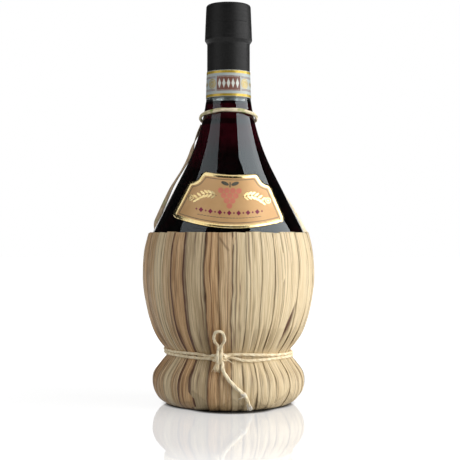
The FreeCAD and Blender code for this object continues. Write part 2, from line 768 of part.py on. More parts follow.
def strap_shape(side, back, turn):
    """Flat straw strap from under the ring, over the shoulder, to the hoop inside the rim."""
    azimuth = side * (90 + back)
    low_z = hoop_z + HOOP_DIAMETER / 2 + STRAP_SEAT
    rim_pass = at(behind_rim(rim_z), azimuth, rim_z)
    low = at(behind_rim(low_z), azimuth, low_z)
    hung = ring_point(azimuth + side * turn)
    top = hung + V(rim_pass - hung).normalize() * (RING_DEPTH / 2 + STRAP_THICKNESS / 2 + STRAP_SEAT)
    route = [off_glass(top + (rim_pass - top) * (i / STRAP_SPANS)) for i in range(STRAP_SPANS + 1)]
    route.append(low)
    sections = []
    for before, point, after in zip(route[:1] + route, route, route[1:] + route[-1:]):
        along = V(after - before).normalize()
        wide = along.cross(outward(azimuth)).normalize() * (STRAP_WIDTH / 2)
        thin = wide.cross(along).normalize() * (STRAP_THICKNESS / 2)
        corners = [point + wide + thin, point - wide + thin, point - wide - thin, point + wide - thin]
        sections.append(Part.makePolygon(corners + corners[:1]))
    return Part.makeLoft(sections, True, True)


def build():
    parts = {}
    parts["glass_bottle"] = turned_solid(flask_outline)
    column = Part.makeCylinder(2 * BODY_RADIUS, wine_level)
    parts["wine_fill"] = turned_solid(wine_outline).common(column)
    parts["cork_stopper"] = turned_solid(cork_outline)
    parts["capsule_cap"] = turned_solid(cap_outline)
    parts["capsule_disc"] = turned_solid(disc_outline)
    parts["capsule_sleeve"] = turned_solid(sleeve_outline)
    parts["neck_band"] = turned_solid(band_outline)
    parts["front_label"] = label_shape()
    parts["neck_ring"] = neck_ring_shape()
    parts["carry_strap_left"] = strap_shape(-1, LEFT_STRAP_BACK, LEFT_STRAP_TURN)
    parts["carry_strap_right"] = strap_shape(1, RIGHT_STRAP_BACK, RIGHT_STRAP_TURN)
    parts["rim_hoop"] = Part.makeTorus(hoop_radius, HOOP_DIAMETER / 2, V(0, 0, hoop_z))
    parts["foot_ring"] = Part.makeTorus(foot_middle[0], FOOT_SECTION, V(0, 0, foot_middle[1]))
    parts["waist_cord"] = waist_cord_shape()
    parts["waist_knot"] = knot_shape()
    parts["bow_loop"] = loop_shape()
    parts["cord_tail"] = tail_shape()
    parts["tail_whipping"] = whipping_shape()
    parts["tail_tuft"] = tuft_shape()
    parts["cord_stub"] = stub_shape()
    layers = [blade_outline(0.0), blade_outline(layer_step)]
    widths = blade_widths()
    start = -widths[0] / 2
    for index, width in enumerate(widths):
        outline = layers[index % 2]
        name = "straw_blade_%02d" % (index + 1)
        parts[name] = turned_solid(outline, start - BLADE_LAP, width + 2 * BLADE_LAP)
        start += width
    return parts


os.makedirs("parts", exist_ok=True)
for node, shape in build().items():
    body = shape.Solids[0] if len(shape.Solids) == 1 else shape
    body.exportStep("parts/%s.step" % node)
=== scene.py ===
import bmesh
import bpy
from math import asin, atan2, copysign, cos, exp, hypot, pi, sin, sqrt, tan, degrees as deg, radians as rad
from mathutils import Matrix, Vector, noise


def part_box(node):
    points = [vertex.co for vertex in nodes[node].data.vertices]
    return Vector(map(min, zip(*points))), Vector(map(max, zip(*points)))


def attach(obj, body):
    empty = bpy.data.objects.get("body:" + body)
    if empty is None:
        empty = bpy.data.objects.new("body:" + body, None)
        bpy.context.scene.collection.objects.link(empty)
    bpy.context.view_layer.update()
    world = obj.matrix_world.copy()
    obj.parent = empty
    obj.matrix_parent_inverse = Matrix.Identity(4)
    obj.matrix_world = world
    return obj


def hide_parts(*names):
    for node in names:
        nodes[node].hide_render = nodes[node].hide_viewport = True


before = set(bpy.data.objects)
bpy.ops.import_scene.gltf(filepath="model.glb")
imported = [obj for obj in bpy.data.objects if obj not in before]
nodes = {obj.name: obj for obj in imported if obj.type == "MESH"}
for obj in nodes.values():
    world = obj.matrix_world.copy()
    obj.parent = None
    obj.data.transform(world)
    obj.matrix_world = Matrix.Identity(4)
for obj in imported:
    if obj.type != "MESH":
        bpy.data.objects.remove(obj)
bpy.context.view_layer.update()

# Straw-covered wine flask. Pieces are drawn in millimetres, with azimuth 0 at the
# front and 90 at the right-hand side, and scaled to metres at the end.
scene = bpy.context.scene
scene.view_settings.view_transform = "Standard"
MM = 0.001


def shown(name, data, *hidden_from):
    """New object in the scene, hidden from some kinds of rays."""
    made = bpy.data.objects.new(name, data)
    scene.collection.objects.link(made)
    for kind in hidden_from:
        setattr(made, "visible_" + kind, False)
    return made


# Camera at the photograph's viewing angle
lens = bpy.data.cameras.new("camera")
lens.lens = 91.7
lens.sensor_width = 36.0
lens.shift_x = 0.0033
lens.shift_y = 0.0217
camera = shown("camera", lens)
camera.location = (0.0, -0.75, 0.1037)
camera.rotation_euler = (pi / 2, 0.0, 0.0)
scene.camera = camera

# Flask
BODY_RADIUS = 53.0
BODY_Z = 83.02
SHOULDER_RADIUS = 69.2
CONE_ANGLE = 27.2
NECK_FLARE = 140.0
BELLY_RADIUS = 100.0
BELLY_TURN = 14.0
LOWER_RADIUS = 59.0
LOWER_TURN = 48.0
WALL = 2.4
NECK_RADIUS = 13.1
BORE_RADIUS = 9.25
NECK_ROOT = 211.26
LIP_Z = 228.76
LIP_RADIUS = 14.6
MOUTH_Z = 252.76
MOUTH_RADIUS = 13.7
MOUTH_ROUND = 1.4
BORE_ROUND = 0.7
WINE_LEVEL = 191.4
WINE_WETS = 0.05
PAPER_LIFT = 0.35
PAPER_PLY = 0.2

# Cork and capsule
CORK_TOP = MOUTH_Z - 0.8
CORK_LOW = CORK_TOP - 44.0
CORK_RADIUS = 9.2
CORK_CHAMFER = 0.8
TEAR_Z = MOUTH_Z - 11.0

# Paper band, whose wall leans in towards its top
BAND_LOW = 193.96
BAND_TOP = 210.76
BAND_LOW_RADIUS = 14.47
BAND_TOP_RADIUS = 13.95
BAND_PLY = 0.2
BAND_LINE = 1.9
BAND_EDGE = 0.25

# Label outline from the middle of its lower edge
LABEL_BASE = 110.62
LABEL_HALF = 35.3
LABEL_CORNER = 6.4
LABEL_SHOULDER = (25.2, 28.2)
LABEL_NOTCH = (20.4, 29.0)
LABEL_TOP = (16.4, 34.9)
LABEL_SAG = 1.6
LABEL_ROUND = 2.2
LABEL_ROLL = 2.2
LABEL_TURN = 1.0

# Straw skirt, its waist and its foot
SKIRT_DEPTH = 1.4
SKIRT_GAP = 0.3
RIM_Z = 109.02
RIM_RADIUS = 50.73
WAIST_Z = 32.55
GROOVE = (43.33, WAIST_Z)
GROOVE_RADIUS = 4.0
FOOT = (34.0, 14.3)
FOOT_ARC = 14.3
FOOT_SQUARE = 0.34
FOOT_SIDE = 0.51
FOOT_SECTION = 12.6
TUCK = 6.0
BLADES = 34
BLADE_PLY = 0.4
BLADE_LAP = 0.6
FOLDED_BLADE = 1
PARTED_BLADE = 6

# Carrying ring and straps
RING_RADIUS = 17.92
RING_Z = 180.96
RING_PUSH = 0.87
RING_TILT = 12.0
RING_LIFT = 0.7
RING_TWIST = 3
STRAP_PLY = 0.5
STRAP_CLEAR = 0.35

# Tied cord
CORD = 1.8
TAIL = 2.2
PLIES = 3
KNOT_AZIMUTH = -6.5
KNOT_REACH = 40.6
LOOP_LEAN = 28
STUB_LEAN = 22
PER_TURN = 36


def polar(centre, radius, angle):
    return (centre[0] + radius * cos(rad(angle)), centre[1] + radius * sin(rad(angle)))


def at(radius, azimuth, z):
    return Vector((radius * sin(rad(azimuth)), -radius * cos(rad(azimuth)), z))


def eased(value, low, high):
    share = min(1.0, max(0.0, (value - low) / (high - low)))
    return share * share * (3 - 2 * share)


def swell(value, middle, reach):
    """One at the middle, falling away on both sides."""
    return exp(-((value - middle) / reach) ** 2)


def wander(seed, along):
    """Smooth chance between -1 and 1, the same on each run."""
    return noise.noise(Vector((seed * 7.13 + 0.37, along, seed * 1.91)))


# Profiles, turned and finished pieces
def grown(bm, tip, place):
    """Draws an edge from a profile's tip to a place, which is the new tip."""
    tip = bmesh.ops.extrude_vert_indiv(bm, verts=[tip])["verts"][0]
    tip.co = place
    return tip


def drawn(start, strokes, step=1.2):
    """A profile in the plane of radius and height: places to run to, and arcs with centre and turn."""
    bm = bmesh.new()
    tip = bm.verts.new((start[0], 0.0, start[1]))
    for stroke in strokes:
        if stroke[0] == "arc":
            centre = Vector((stroke[1][0], 0.0, stroke[1][1]))
            reach = (tip.co - centre).length * abs(rad(stroke[2]))
            made = bmesh.ops.spin(
                bm, geom=[tip], cent=centre, axis=(0, -1, 0), angle=rad(stroke[2]), steps=max(3, round(reach / step)))
            tip = made["geom_last"][0]
        else:
            tip = grown(bm, tip, (stroke[0], 0.0, stroke[1]))
    return bm


def outline_points(bm):
    """Radius and height of a drawn profile's points in order."""
    bm.verts.ensure_lookup_table()
    here = bm.verts[0]
    came = None
    points = [(here.co.x, here.co.z)]
    while True:
        ways = [e for e in here.link_edges if e is not came]
        if not ways:
            return points
        came = ways[0]
        here = came.other_vert(here)
        points.append((here.co.x, here.co.z))


def turned(bm, steps=128):
    """Turns a drawn profile round the flask's axis."""
    bmesh.ops.spin(
        bm, geom=bm.verts[:] + bm.edges[:], cent=(0, 0, 0), axis=(0, 0, 1), angle=2 * pi, steps=steps, use_merge=True)
    bmesh.ops.remove_doubles(bm, verts=bm.verts, dist=1e-4)
    bmesh.ops.recalc_face_normals(bm, faces=bm.faces)
    return bm


def mesh_of(name, bm):
    mesh = bpy.data.meshes.new(name)
    bm.to_mesh(mesh)
    bm.free()
    return mesh


def piece(name, bm, finishes, stands_for=(), body="bottle"):
    bmesh.ops.scale(bm, vec=(MM, MM, MM), verts=bm.verts)
    mesh = mesh_of(name, bm)
    for face in mesh.polygons:
        face.use_smooth = True
    for coat in finishes:
        mesh.materials.append(coat)
    made = shown(name, mesh)
    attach(made, body)
    if stands_for:
        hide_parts(*stands_for)
    return made


def thickened(made, name, thickness, offset):
    ply = made.modifiers.new(name, "SOLIDIFY")
    ply.thickness = thickness * MM
    ply.offset = offset


# Shader building blocks
COLOUR_MIX = (0, 6, 7)
MIXED_COLOUR = 2


def put(socket, value):
    """Links a socket's value to the input, or sets a plain one."""
    if isinstance(value, bpy.types.NodeSocket):
        socket.id_data.links.new(value, socket)
    elif socket.type == "RGBA":
        socket.default_value = (*value, 1.0)
    else:
        socket.default_value = value


def shader_node(tree, kind, inputs=(), **settings):
    made = tree.nodes.new("ShaderNode" + kind)
    for setting, value in settings.items():
        setattr(made, setting, value)
    for socket, value in dict(inputs).items():
        put(made.inputs[socket], value)
    return made


def grain(vector, stretch, detail=3.0):
    """Value of a noise stretched by its own scale along each direction."""
    tree = vector.id_data
    place = shader_node(tree, "Mapping", {"Scale": stretch, "Vector": vector}).outputs["Vector"]
    return shader_node(tree, "TexNoise", {"Scale": 1.0, "Detail": detail, "Vector": place}).outputs["Fac"]


def ranged(value, low, high, to_low=0.0, to_high=1.0):
    limits = {"Value": value, "From Min": low, "From Max": high, "To Min": to_low, "To Max": to_high}
    return shader_node(value.id_data, "MapRange", limits, interpolation_type="SMOOTHSTEP").outputs["Result"]


def summed(one, two, how="ADD"):
    tree = (two if isinstance(one, float) else one).id_data
    return shader_node(tree, "Math", {0: one, 1: two}, operation=how).outputs[0]


def times(one, two):
    return summed(one, two, "MULTIPLY")


def tinted(share, one, two):
    made = shader_node(share.id_data, "Mix", zip(COLOUR_MIX, (share, one, two)), data_type="RGBA")
    return made.outputs[MIXED_COLOUR]


def layered(tone, *layers):
    """Lays tints over a tone, each by the range of its mask and at its own share."""
    for mask, low, high, share, tint in layers:
        tone = tinted(ranged(mask, low, high, 0.0, share), tone, tint)
    return tone


def group(name, inputs, outputs):
    """Empty node group with named sockets."""
    made = bpy.data.node_groups.new(name, "ShaderNodeTree")
    for way, sockets in (("INPUT", inputs), ("OUTPUT", outputs)):
        for socket, kind in sockets:
            made.interface.new_socket(socket, in_out=way, socket_type="NodeSocket" + kind)
    return made, made.nodes.new("NodeGroupInput").outputs, made.nodes.new("NodeGroupOutput").inputs


def finish(name, **sockets):
    """New material with its plain values set on the shader."""
    made = bpy.data.materials.new(name)
    made.use_nodes = True
    shader = made.node_tree.nodes["Principled BSDF"]
    for socket, value in sockets.items():
        put(shader.inputs[socket.replace("_", " ")], value)
    return made, made.node_tree, shader


def placed(tree, made_group, **values):
    return shader_node(tree, "Group", values, node_tree=made_group).outputs


def object_place(tree):
    return shader_node(tree, "TexCoord").outputs["Object"]


def bumped(shader, height, strength, distance):
    made = shader_node(shader.id_data, "Bump", {"Strength": strength, "Distance": distance, "Height": height})
    put(shader.inputs["Normal"], made.outputs["Normal"])


def dressed(shader, tone, roughness, height, strength, distance):
    """Gives a shader its colour, roughness and bump."""
    put(shader.inputs["Base Color"], tone)
    put(shader.inputs["Roughness"], roughness)
    bumped(shader, height, strength, distance)


# Straw fibres run along a blade's own map, which is laid out in centimetres
SURFACE = [("Color", "Color"), ("Roughness", "Float"), ("Height", "Float")]
fibres, given, out = group(
    "straw fibres",
    [("Lay", "Vector"), ("Edge", "Float"), ("Soil", "Float"), ("Light", "Color"), ("Dark", "Color"),
     ("Stain", "Color"), ("Seam", "Color")], SURFACE)
fine = grain(given["Lay"], (24.0, 0.4, 1.0))
middling = grain(given["Lay"], (11.0, 0.22, 1.0), 2.0)
broad = grain(given["Lay"], (2.6, 0.1, 1.0), 2.0)
cloud = grain(given["Lay"], (1.6, 0.55, 1.0))
crack = grain(given["Lay"], (13.0, 0.07, 1.0), 1.0)
light, dark, stain, seam_and_shade = (given[tint] for tint in ("Light", "Dark", "Stain", "Seam"))
straw_tone = layered(
    tinted(ranged(broad, 0.36, 0.64), light, dark), (cloud, 0.52, 0.78, 0.6, stain),
    (middling, 0.51, 0.57, 0.6, dark), (middling, 0.48, 0.42, 0.75, light), (fine, 0.51, 0.57, 0.7, dark),
    (fine, 0.47, 0.41, 0.6, light), (crack, 0.6, 0.635, 0.6, seam_and_shade))
# Tinted towards the stain tone darker towards the floor, with painted shade below the foot's crease and on the
# right-facing blades
straw_tone = tinted(given["Soil"], straw_tone, stain)
# Edges take the seam tone: the blades' browner edges, and painted shade in the gaps, pleat valleys, creases and slit
put(out["Color"], tinted(given["Edge"], straw_tone, seam_and_shade))
put(out["Roughness"], ranged(fine, 0.3, 0.7, 0.4, 0.64))
relief = summed(times(middling, 1.2), times(broad, 1.4))
put(out["Height"], summed(fine, relief, "SUBTRACT"))

# Twisted straw, cord and thread take their mottling from the place on the object
mottle, given, out = group(
    "fibre mottle", [("Place", "Vector"), ("Light", "Color"), ("Dark", "Color"), ("Fleck", "Color")], SURFACE)
hairs = grain(given["Place"], (2600.0, 2600.0, 1400.0))
patches = grain(given["Place"], (420.0, 420.0, 260.0))
flecks = grain(given["Place"], (160.0, 160.0, 160.0))
put(out["Color"], layered(
    tinted(ranged(patches, 0.35, 0.7), given["Light"], given["Dark"]), (hairs, 0.5, 0.75, 0.4, given["Dark"]),
    (flecks, 0.57, 0.64, 0.85, given["Fleck"])))
put(out["Roughness"], ranged(hairs, 0.3, 0.7, 0.55, 0.8))
put(out["Height"], hairs)

# Dark tone of the seams and cracks, also used as painted shade in gaps and creases
SEAM_AND_SHADE_TONE = (0.085, 0.029, 0.011)


def straw_finish(name, light, dark, stain):
    made, tree, shader = finish(name, Specular_IOR_Level=0.4)
    lay = shader_node(tree, "UVMap", uv_map="lay").outputs["UV"]
    edge_and_shade = shader_node(tree, "Attribute", attribute_name="edge_and_shade").outputs["Fac"]
    soil_and_shade = shader_node(tree, "Attribute", attribute_name="soil_and_shade").outputs["Fac"]
    straw = placed(tree, fibres, Lay=lay, Edge=edge_and_shade, Soil=soil_and_shade, Light=light, Dark=dark, Stain=stain, Seam=SEAM_AND_SHADE_TONE)
    dressed(shader, straw["Color"], straw["Roughness"], straw["Height"], 0.85, 0.0004)
    return made


def fibre_finish(name, light, dark, fleck):
    made, tree, shader = finish(name, Specular_IOR_Level=0.3)
    cord = placed(tree, mottle, Place=object_place(tree), Light=light, Dark=dark, Fleck=fleck)
    dressed(shader, cord["Color"], cord["Roughness"], cord["Height"], 0.4, 0.0002)
    return made


# Slot and finish of each tone of straw
straws = {
    "c": ("straw_cream", straw_finish("cream straw", (0.79, 0.65, 0.415), (0.65, 0.50, 0.29), (0.56, 0.43, 0.245))),
    "t": ("straw_tan", straw_finish("tan straw", (0.75, 0.555, 0.33), (0.445, 0.28, 0.134), (0.46, 0.315, 0.155))),
    "g": ("straw_green", straw_finish("green straw", (0.71, 0.56, 0.345), (0.42, 0.305, 0.166), (0.39, 0.31, 0.18))),
    "b": ("straw_brown", straw_finish(
        "brown straw", (0.72, 0.475, 0.248), (0.395, 0.218, 0.092), (0.41, 0.265, 0.125))),
}
cream_twist = fibre_finish("cream twisted leaf", (0.86, 0.77, 0.57), (0.70, 0.58, 0.38), (0.38, 0.40, 0.14))
green_twist = fibre_finish("green twisted leaf", (0.70, 0.62, 0.40), (0.48, 0.44, 0.22), (0.22, 0.28, 0.07))
brown_twist = fibre_finish("brown twisted leaf", (0.56, 0.43, 0.29), (0.38, 0.275, 0.165), (0.34, 0.35, 0.16))
rolled_straw = fibre_finish("rolled foot straw", (0.56, 0.45, 0.27), (0.36, 0.26, 0.14), (0.24, 0.17, 0.08))
cord_finish = fibre_finish("waist cord fibre", (0.93, 0.83, 0.61), (0.77, 0.61, 0.37), (0.86, 0.73, 0.49))
thread_finish = fibre_finish("white thread fibre", (0.86, 0.83, 0.77), (0.74, 0.68, 0.56), (0.80, 0.72, 0.55))

# Glass
glass_finish, tree, shader = finish(
    "clear glass", Base_Color=(0.94, 0.96, 0.94), Roughness=0.0, IOR=1.62, Transmission_Weight=1.0,
    Specular_Tint=(0.84, 0.95, 1.0))
bumped(shader, grain(object_place(tree), (38.0, 38.0, 12.0), 1.0), 0.05, 0.001)

# Wine, which lets no light through, with painted red in the neck for the light that shines through it there, reaching
# lower on the left, a painted dark band for the far side of the ring seen through it, and the surface darker
wine_finish, tree, shader = finish("red wine", Roughness=0.5, Specular_IOR_Level=0.0)
BLACK_WINE = (0.0025, 0.0015, 0.0016)
RED_WINE_LIT_THROUGH = (0.043, 0.0025, 0.0065)
SEDIMENT = (0.012, 0.001, 0.002)
place = shader_node(tree, "SeparateXYZ", {0: object_place(tree)}).outputs
level = place["Z"]
# Painted light through the wine, reaching lower on the left side
lit_through_level = summed(level, ranged(place["X"], -0.018, -0.010, 0.011, 0.0))
sediment = grain(object_place(tree), (60.0, 60.0, 120.0), 2.0)
wine_tone = layered(tinted(ranged(lit_through_level, 0.155, 0.171), BLACK_WINE, RED_WINE_LIT_THROUGH), (sediment, 0.4, 0.7, 0.5, SEDIMENT))
# Painted dark band: the far side of the ring seen through the wine
painted_far_ring_band = times(ranged(level, 0.1760, 0.1770), ranged(level, 0.1795, 0.1805, 1.0, 0.0))
wine_tone = tinted(times(painted_far_ring_band, 0.8), wine_tone, BLACK_WINE)
put(shader.inputs["Base Color"], layered(wine_tone, (level, 0.1890, 0.1902, 0.85, BLACK_WINE)))

# Cork and capsule film
cork_finish, tree, shader = finish("cork bark", Specular_IOR_Level=0.2)
bark = grain(object_place(tree), (520.0, 520.0, 260.0), 5.0)
pits = grain(object_place(tree), (900.0, 900.0, 300.0), 2.0)
bark_tone = tinted(ranged(bark, 0.35, 0.65), (0.62, 0.42, 0.24), (0.40, 0.25, 0.13))
bark_tone = layered(bark_tone, (pits, 0.62, 0.7, 1.0, (0.13, 0.07, 0.035)))
bark_rough = ranged(bark, 0.3, 0.7, 0.7, 0.95)
dressed(shader, bark_tone, bark_rough, summed(bark, pits, "SUBTRACT"), 0.5, 0.0004)

capsule_finish, tree, shader = finish("matt black film", Specular_IOR_Level=0.185)
film = grain(object_place(tree), (900.0, 900.0, 900.0), 4.0)
drawn_lines = grain(object_place(tree), (30.0, 30.0, 1100.0), 3.0)
film_tone = tinted(ranged(film, 0.3, 0.7), (0.0065, 0.0065, 0.0065), (0.011, 0.011, 0.011))
film_rough = ranged(drawn_lines, 0.3, 0.7, 0.40, 0.54)
dressed(shader, film_tone, film_rough, summed(film, drawn_lines), 0.12, 0.0002)

# Paper and print, and gold: scale of the surface's grain, scale and detail of its
# patches, range of the patches, range of roughness and strength of bump
PAPER = (1500.0, 70.0, 2.0, (0.35, 0.65), (0.34, 0.5), 0.15)
GOLD = (900.0, 180.0, 3.0, (0.3, 0.7), (0.16, 0.3), 0.2)


def sheet_finish(name, kind, light, dark, **sockets):
    made, tree, shader = finish(name, **sockets)
    surface_scale, patch_scale, patch_detail, patch_range, rough_range, strength = kind
    surface = grain(object_place(tree), (surface_scale,) * 3, 4.0)
    patch = grain(object_place(tree), (patch_scale,) * 3, patch_detail)
    tone = tinted(ranged(patch, *patch_range), light, dark)
    dressed(shader, tone, ranged(surface, 0.3, 0.7, *rough_range), surface, strength, 0.0001)
    return made


label_paper = sheet_finish(
    "copper label paper", PAPER, (0.63, 0.385, 0.18), (0.58, 0.345, 0.15), Metallic=0.25, Specular_IOR_Level=0.35)
band_paper = sheet_finish("pale band paper", PAPER, (0.40, 0.46, 0.46), (0.48, 0.50, 0.455))
brown_print = sheet_finish("brown band print", PAPER, (0.20, 0.075, 0.050), (0.15, 0.055, 0.038))
pale_print = sheet_finish("pale band print", PAPER, (0.74, 0.76, 0.70), (0.68, 0.70, 0.64))
dark_print = sheet_finish("dark label print", PAPER, (0.045, 0.045, 0.035), (0.09, 0.085, 0.06))
rose_print = sheet_finish("rose label print", PAPER, (0.72, 0.25, 0.16), (0.64, 0.20, 0.13), Metallic=0.2)
wine_print = sheet_finish("burgundy label print", PAPER, (0.24, 0.010, 0.050), (0.18, 0.008, 0.036))
gold_foil = sheet_finish("gold foil", GOLD, (0.93, 0.77, 0.42), (0.86, 0.66, 0.30), Metallic=1.0)
gold_ink = sheet_finish("gold ink", GOLD, (0.60, 0.43, 0.065), (0.50, 0.34, 0.045), Metallic=0.3)


# Cords: smooth lines, strands and ropes
def curve(kind, points):
    """Curve object with one spline past the points."""
    line = bpy.data.curves.new("line", "CURVE")
    line.dimensions = "3D"
    spline = line.splines.new(kind)
    spline.points.add(len(points) - 1)
    for knot, point in zip(spline.points, points):
        knot.co = (*point, 1.0)
    return bpy.data.objects.new("line", line), spline


def curve_mesh(carrier):
    """Mesh of a curve object, which is then removed."""
    mesh = bpy.data.meshes.new_from_object(carrier)
    line = carrier.data
    bpy.data.objects.remove(carrier)
    bpy.data.curves.remove(line)
    return mesh


def route(points):
    """Points of the smooth line past a cord's control points."""
    carrier, spline = curve("NURBS", points)
    spline.order_u = 3
    spline.use_endpoint_u = True
    spline.resolution_u = 12
    mesh = curve_mesh(carrier)
    smooth = [v.co.copy() for v in mesh.vertices]
    bpy.data.meshes.remove(mesh)
    return smooth


def strand(bm, line, radius, taper=0.0, closed=False, finish_index=0):
    """Adds a round strand along a line to a mesh, thinner by the taper at its end."""
    carrier, spline = curve("POLY", line)
    carrier.data.bevel_depth = radius
    carrier.data.bevel_resolution = 2
    carrier.data.use_fill_caps = not closed
    for index, knot in enumerate(spline.points):
        knot.radius = 1.0 - taper * (index / (len(line) - 1))
    spline.use_cyclic_u = closed
    mesh = curve_mesh(carrier)
    before = len(bm.faces)
    bm.from_mesh(mesh)
    bm.faces.ensure_lookup_table()
    for face in bm.faces[before:]:
        face.material_index = finish_index
    bpy.data.meshes.remove(mesh)


def ply_lines(line, reach, lay):
    """Lines of the plies that twist round a line, one turn in each lay length."""
    lines = [[] for ply in range(PLIES)]
    across = Vector((0.31, 0.17, 0.93))
    gone = 0.0
    for index, point in enumerate(line):
        before = line[max(0, index - 1)]
        ahead = (line[min(len(line) - 1, index + 1)] - before).normalized()
        gone += (point - before).length
        across = (across - ahead * across.dot(ahead)).normalized()
        beside = ahead.cross(across)
        for ply in range(PLIES):
            turn = 2 * pi * (gone / lay + ply / PLIES)
            lines[ply].append(point + (across * cos(turn) + beside * sin(turn)) * reach)
    return lines


def rope(bm, line, diameter, lay=13.0):
    for ply in ply_lines(line, diameter * 0.2, lay):
        strand(bm, ply, diameter * 0.36)


knot_out = at(1.0, KNOT_AZIMUTH, 0.0)
knot_side = at(1.0, KNOT_AZIMUTH + 90, 0.0)
loop_way = knot_out * sin(rad(LOOP_LEAN)) + Vector((0, 0, cos(rad(LOOP_LEAN))))


def by_knot(side, up, out):
    """Point beside the knot, from the middle of the wound cord."""
    return knot_out * (KNOT_REACH + out) + knot_side * side + Vector((0, 0, WAIST_Z + up))


def knot_route(*places):
    return route([by_knot(*place) for place in places])


# Bow loop
loop_foot = by_knot(0.0, 3.39, 3.83)
loop_half = [(1.0, -1.8), (0.95, 0.0), (0.85, 3.0), (1.0, 5.2), (3.1, 7.6), (3.3, 11.4), (1.8, 14.9)]
loop_points = [loop_foot - knot_side * s + loop_way * u for s, u in loop_half]
loop_points += [loop_foot + knot_side * s + loop_way * u for s, u in reversed(loop_half)]
loop_line = route(loop_points)
bm = bmesh.new()
rope(bm, loop_line, CORD)
bow_loop = piece("bow_loop_cord", bm, [cord_finish], ["bow_loop"])

# Tail that lies down the foot, with its whipping and frayed end
tail_line = route([by_knot(1.2, -1.6, 3.0)] + [Vector(place) for place in (
    (-3.54, -44.32, 29.16), (-3.74, -46.09, 25.81), (-0.68, -48.83, 20.8), (3.49, -49.95, 16.2),
    (7.66, -49.51, 12.6), (10.57, -48.87, 9.4), (11.66, -48.21, 6.4), (12.4, -47.8, 4.2))])
bm = bmesh.new()
rope(bm, tail_line, TAIL, 18.0)
tail = piece("tail_cord", bm, [cord_finish], ["cord_tail"])
GOLDEN_TURN = 2.39996


def spray(bm, root, way, length, spread, count, seed, radius, start):
    """Bundle of thin fibres that fan out along a way."""
    across = way.orthogonal().normalized()
    beside = way.cross(across)
    for index in range(count):
        turn = GOLDEN_TURN * index + seed
        fan = sqrt((index + 0.5) / count)
        lean = (across * cos(turn) + beside * sin(turn)) * fan
        reach = length * (0.78 + 0.22 * wander(seed + index, 0.4))
        curl = (across * wander(seed + index, 3.1) + beside * wander(seed + index, 5.7)) * spread * 0.6
        line = []
        for step in range(7):
            share = step / 6
            width = start + (spread - start) * share
            line.append(root + way * (reach * share) + lean * width + curl * share * share)
        strand(bm, line, radius, 0.45)


tuft_way = Vector((0.30, 0.16, -0.92)).normalized()
bm = bmesh.new()
spray(bm, Vector((11.3, -48.35, 7.2)), tuft_way, 7.0, 1.7, 30, 3, 0.2, 0.75)
tuft = piece("tail_tuft_fibres", bm, [thread_finish], ["tail_tuft"])

WHIP_TURNS = 4
WHIP_WIDE = 1.9
whip_middle = Vector((9.1, -49.2, 11.0))
whip_way = Vector((2.91, 0.64, -3.2)).normalized()
whip_across = whip_way.orthogonal().normalized()
whip_beside = whip_way.cross(whip_across)
whip_line = []
for step in range(97):
    turn = 2 * pi * step / (96 / WHIP_TURNS)
    round_tail = (whip_across * cos(turn) + whip_beside * sin(turn)) * (TAIL / 2 + 0.22)
    whip_line.append(whip_middle + whip_way * (step / 96 - 0.5) * WHIP_WIDE + round_tail)
bm = bmesh.new()
strand(bm, whip_line, 0.27)
for whip_end, radius, ways in (
        (whip_line[0], 0.22, ((-0.6, -0.9, 0.5), (0.5, -1.5, 1.2), (1.1, -1.0, 0.2))),
        (whip_line[-1], 0.2, ((-0.9, -1.0, 0.1), (-2.0, -1.1, -0.6), (-2.9, -0.7, -0.7)))):
    strand(bm, route([whip_end] + [whip_end + Vector(way) for way in ways]), radius)
whipping = piece("tail_whipping_thread", bm, [thread_finish], ["tail_whipping"])

# Cut end beside the tail
stub_way = (
    knot_out * sin(rad(STUB_LEAN)) - Vector((0, 0, cos(rad(STUB_LEAN)))) - knot_side * 0.12).normalized()
bm = bmesh.new()
spray(bm, by_knot(-1.2, -1.4, 2.8), stub_way, 8.8, 2.3, 46, 11, 0.27, 0.8)
piece("stub_fibres", bm, [cord_finish], ["cord_stub"])


# Waist cord: two turns that lie close at the back and part towards the knot
def waist_point(step):
    azimuth = KNOT_AZIMUTH + 360.0 * step / PER_TURN
    from_knot = (azimuth - KNOT_AZIMUTH + 180) % 360 - 180
    part = 0.93 + (1.15 if from_knot > 0 else 0.35) * (1 - eased(abs(from_knot), 12, 62))
    level = part if step < PER_TURN else -part
    if abs(step - PER_TURN) < PER_TURN * 0.03:
        level = 0.0
    slant = -1.1 * sin(rad(azimuth))
    hug = GROOVE_RADIUS - CORD / 2 - 0.12
    reach = GROOVE[0] - sqrt(hug * hug - (level + slant * 0.4) ** 2)
    return at(reach, azimuth, WAIST_Z + level + slant)


waist_line = route([waist_point(step) for step in range(2 * PER_TURN + 1)])
bm = bmesh.new()
rope(bm, waist_line, CORD, 14.0)
piece("waist_cord_rope", bm, [cord_finish], ["waist_cord"])

# Knot: the cord passes twice round the feet of the loop and the tail
bm = bmesh.new()
for places in (
        ((-5.6, 1.0, 0.2), (-3.4, 1.4, 1.9), (-1.6, 2.1, 4.6), (1.3, 2.3, 5.0), (3.0, 1.6, 3.2), (2.0, 0.9, 1.2),
         (-1.4, 0.4, 1.0), (-3.0, 0.2, 2.6), (-1.7, -0.4, 4.8), (1.2, -0.9, 5.1), (3.0, -1.2, 3.2), (3.2, -1.5, 1.2)),
        ((-4.6, -1.6, 0.3), (-3.0, -1.8, 1.8), (-1.2, -1.9, 3.9), (1.0, -1.4, 4.2), (2.6, 0.4, 3.4), (4.4, 1.4, 1.0),
         (6.0, 1.6, 0.2)),
        ((-1.1, 4.6, 4.4), (-1.2, 2.8, 5.6), (-1.1, 0.4, 5.9), (-1.2, -3.8, 4.4)),
        ((1.0, 4.6, 4.4), (0.9, 2.6, 5.6), (0.8, 0.2, 5.9), (0.6, -3.4, 4.2))):
    rope(bm, knot_route(*places), CORD)
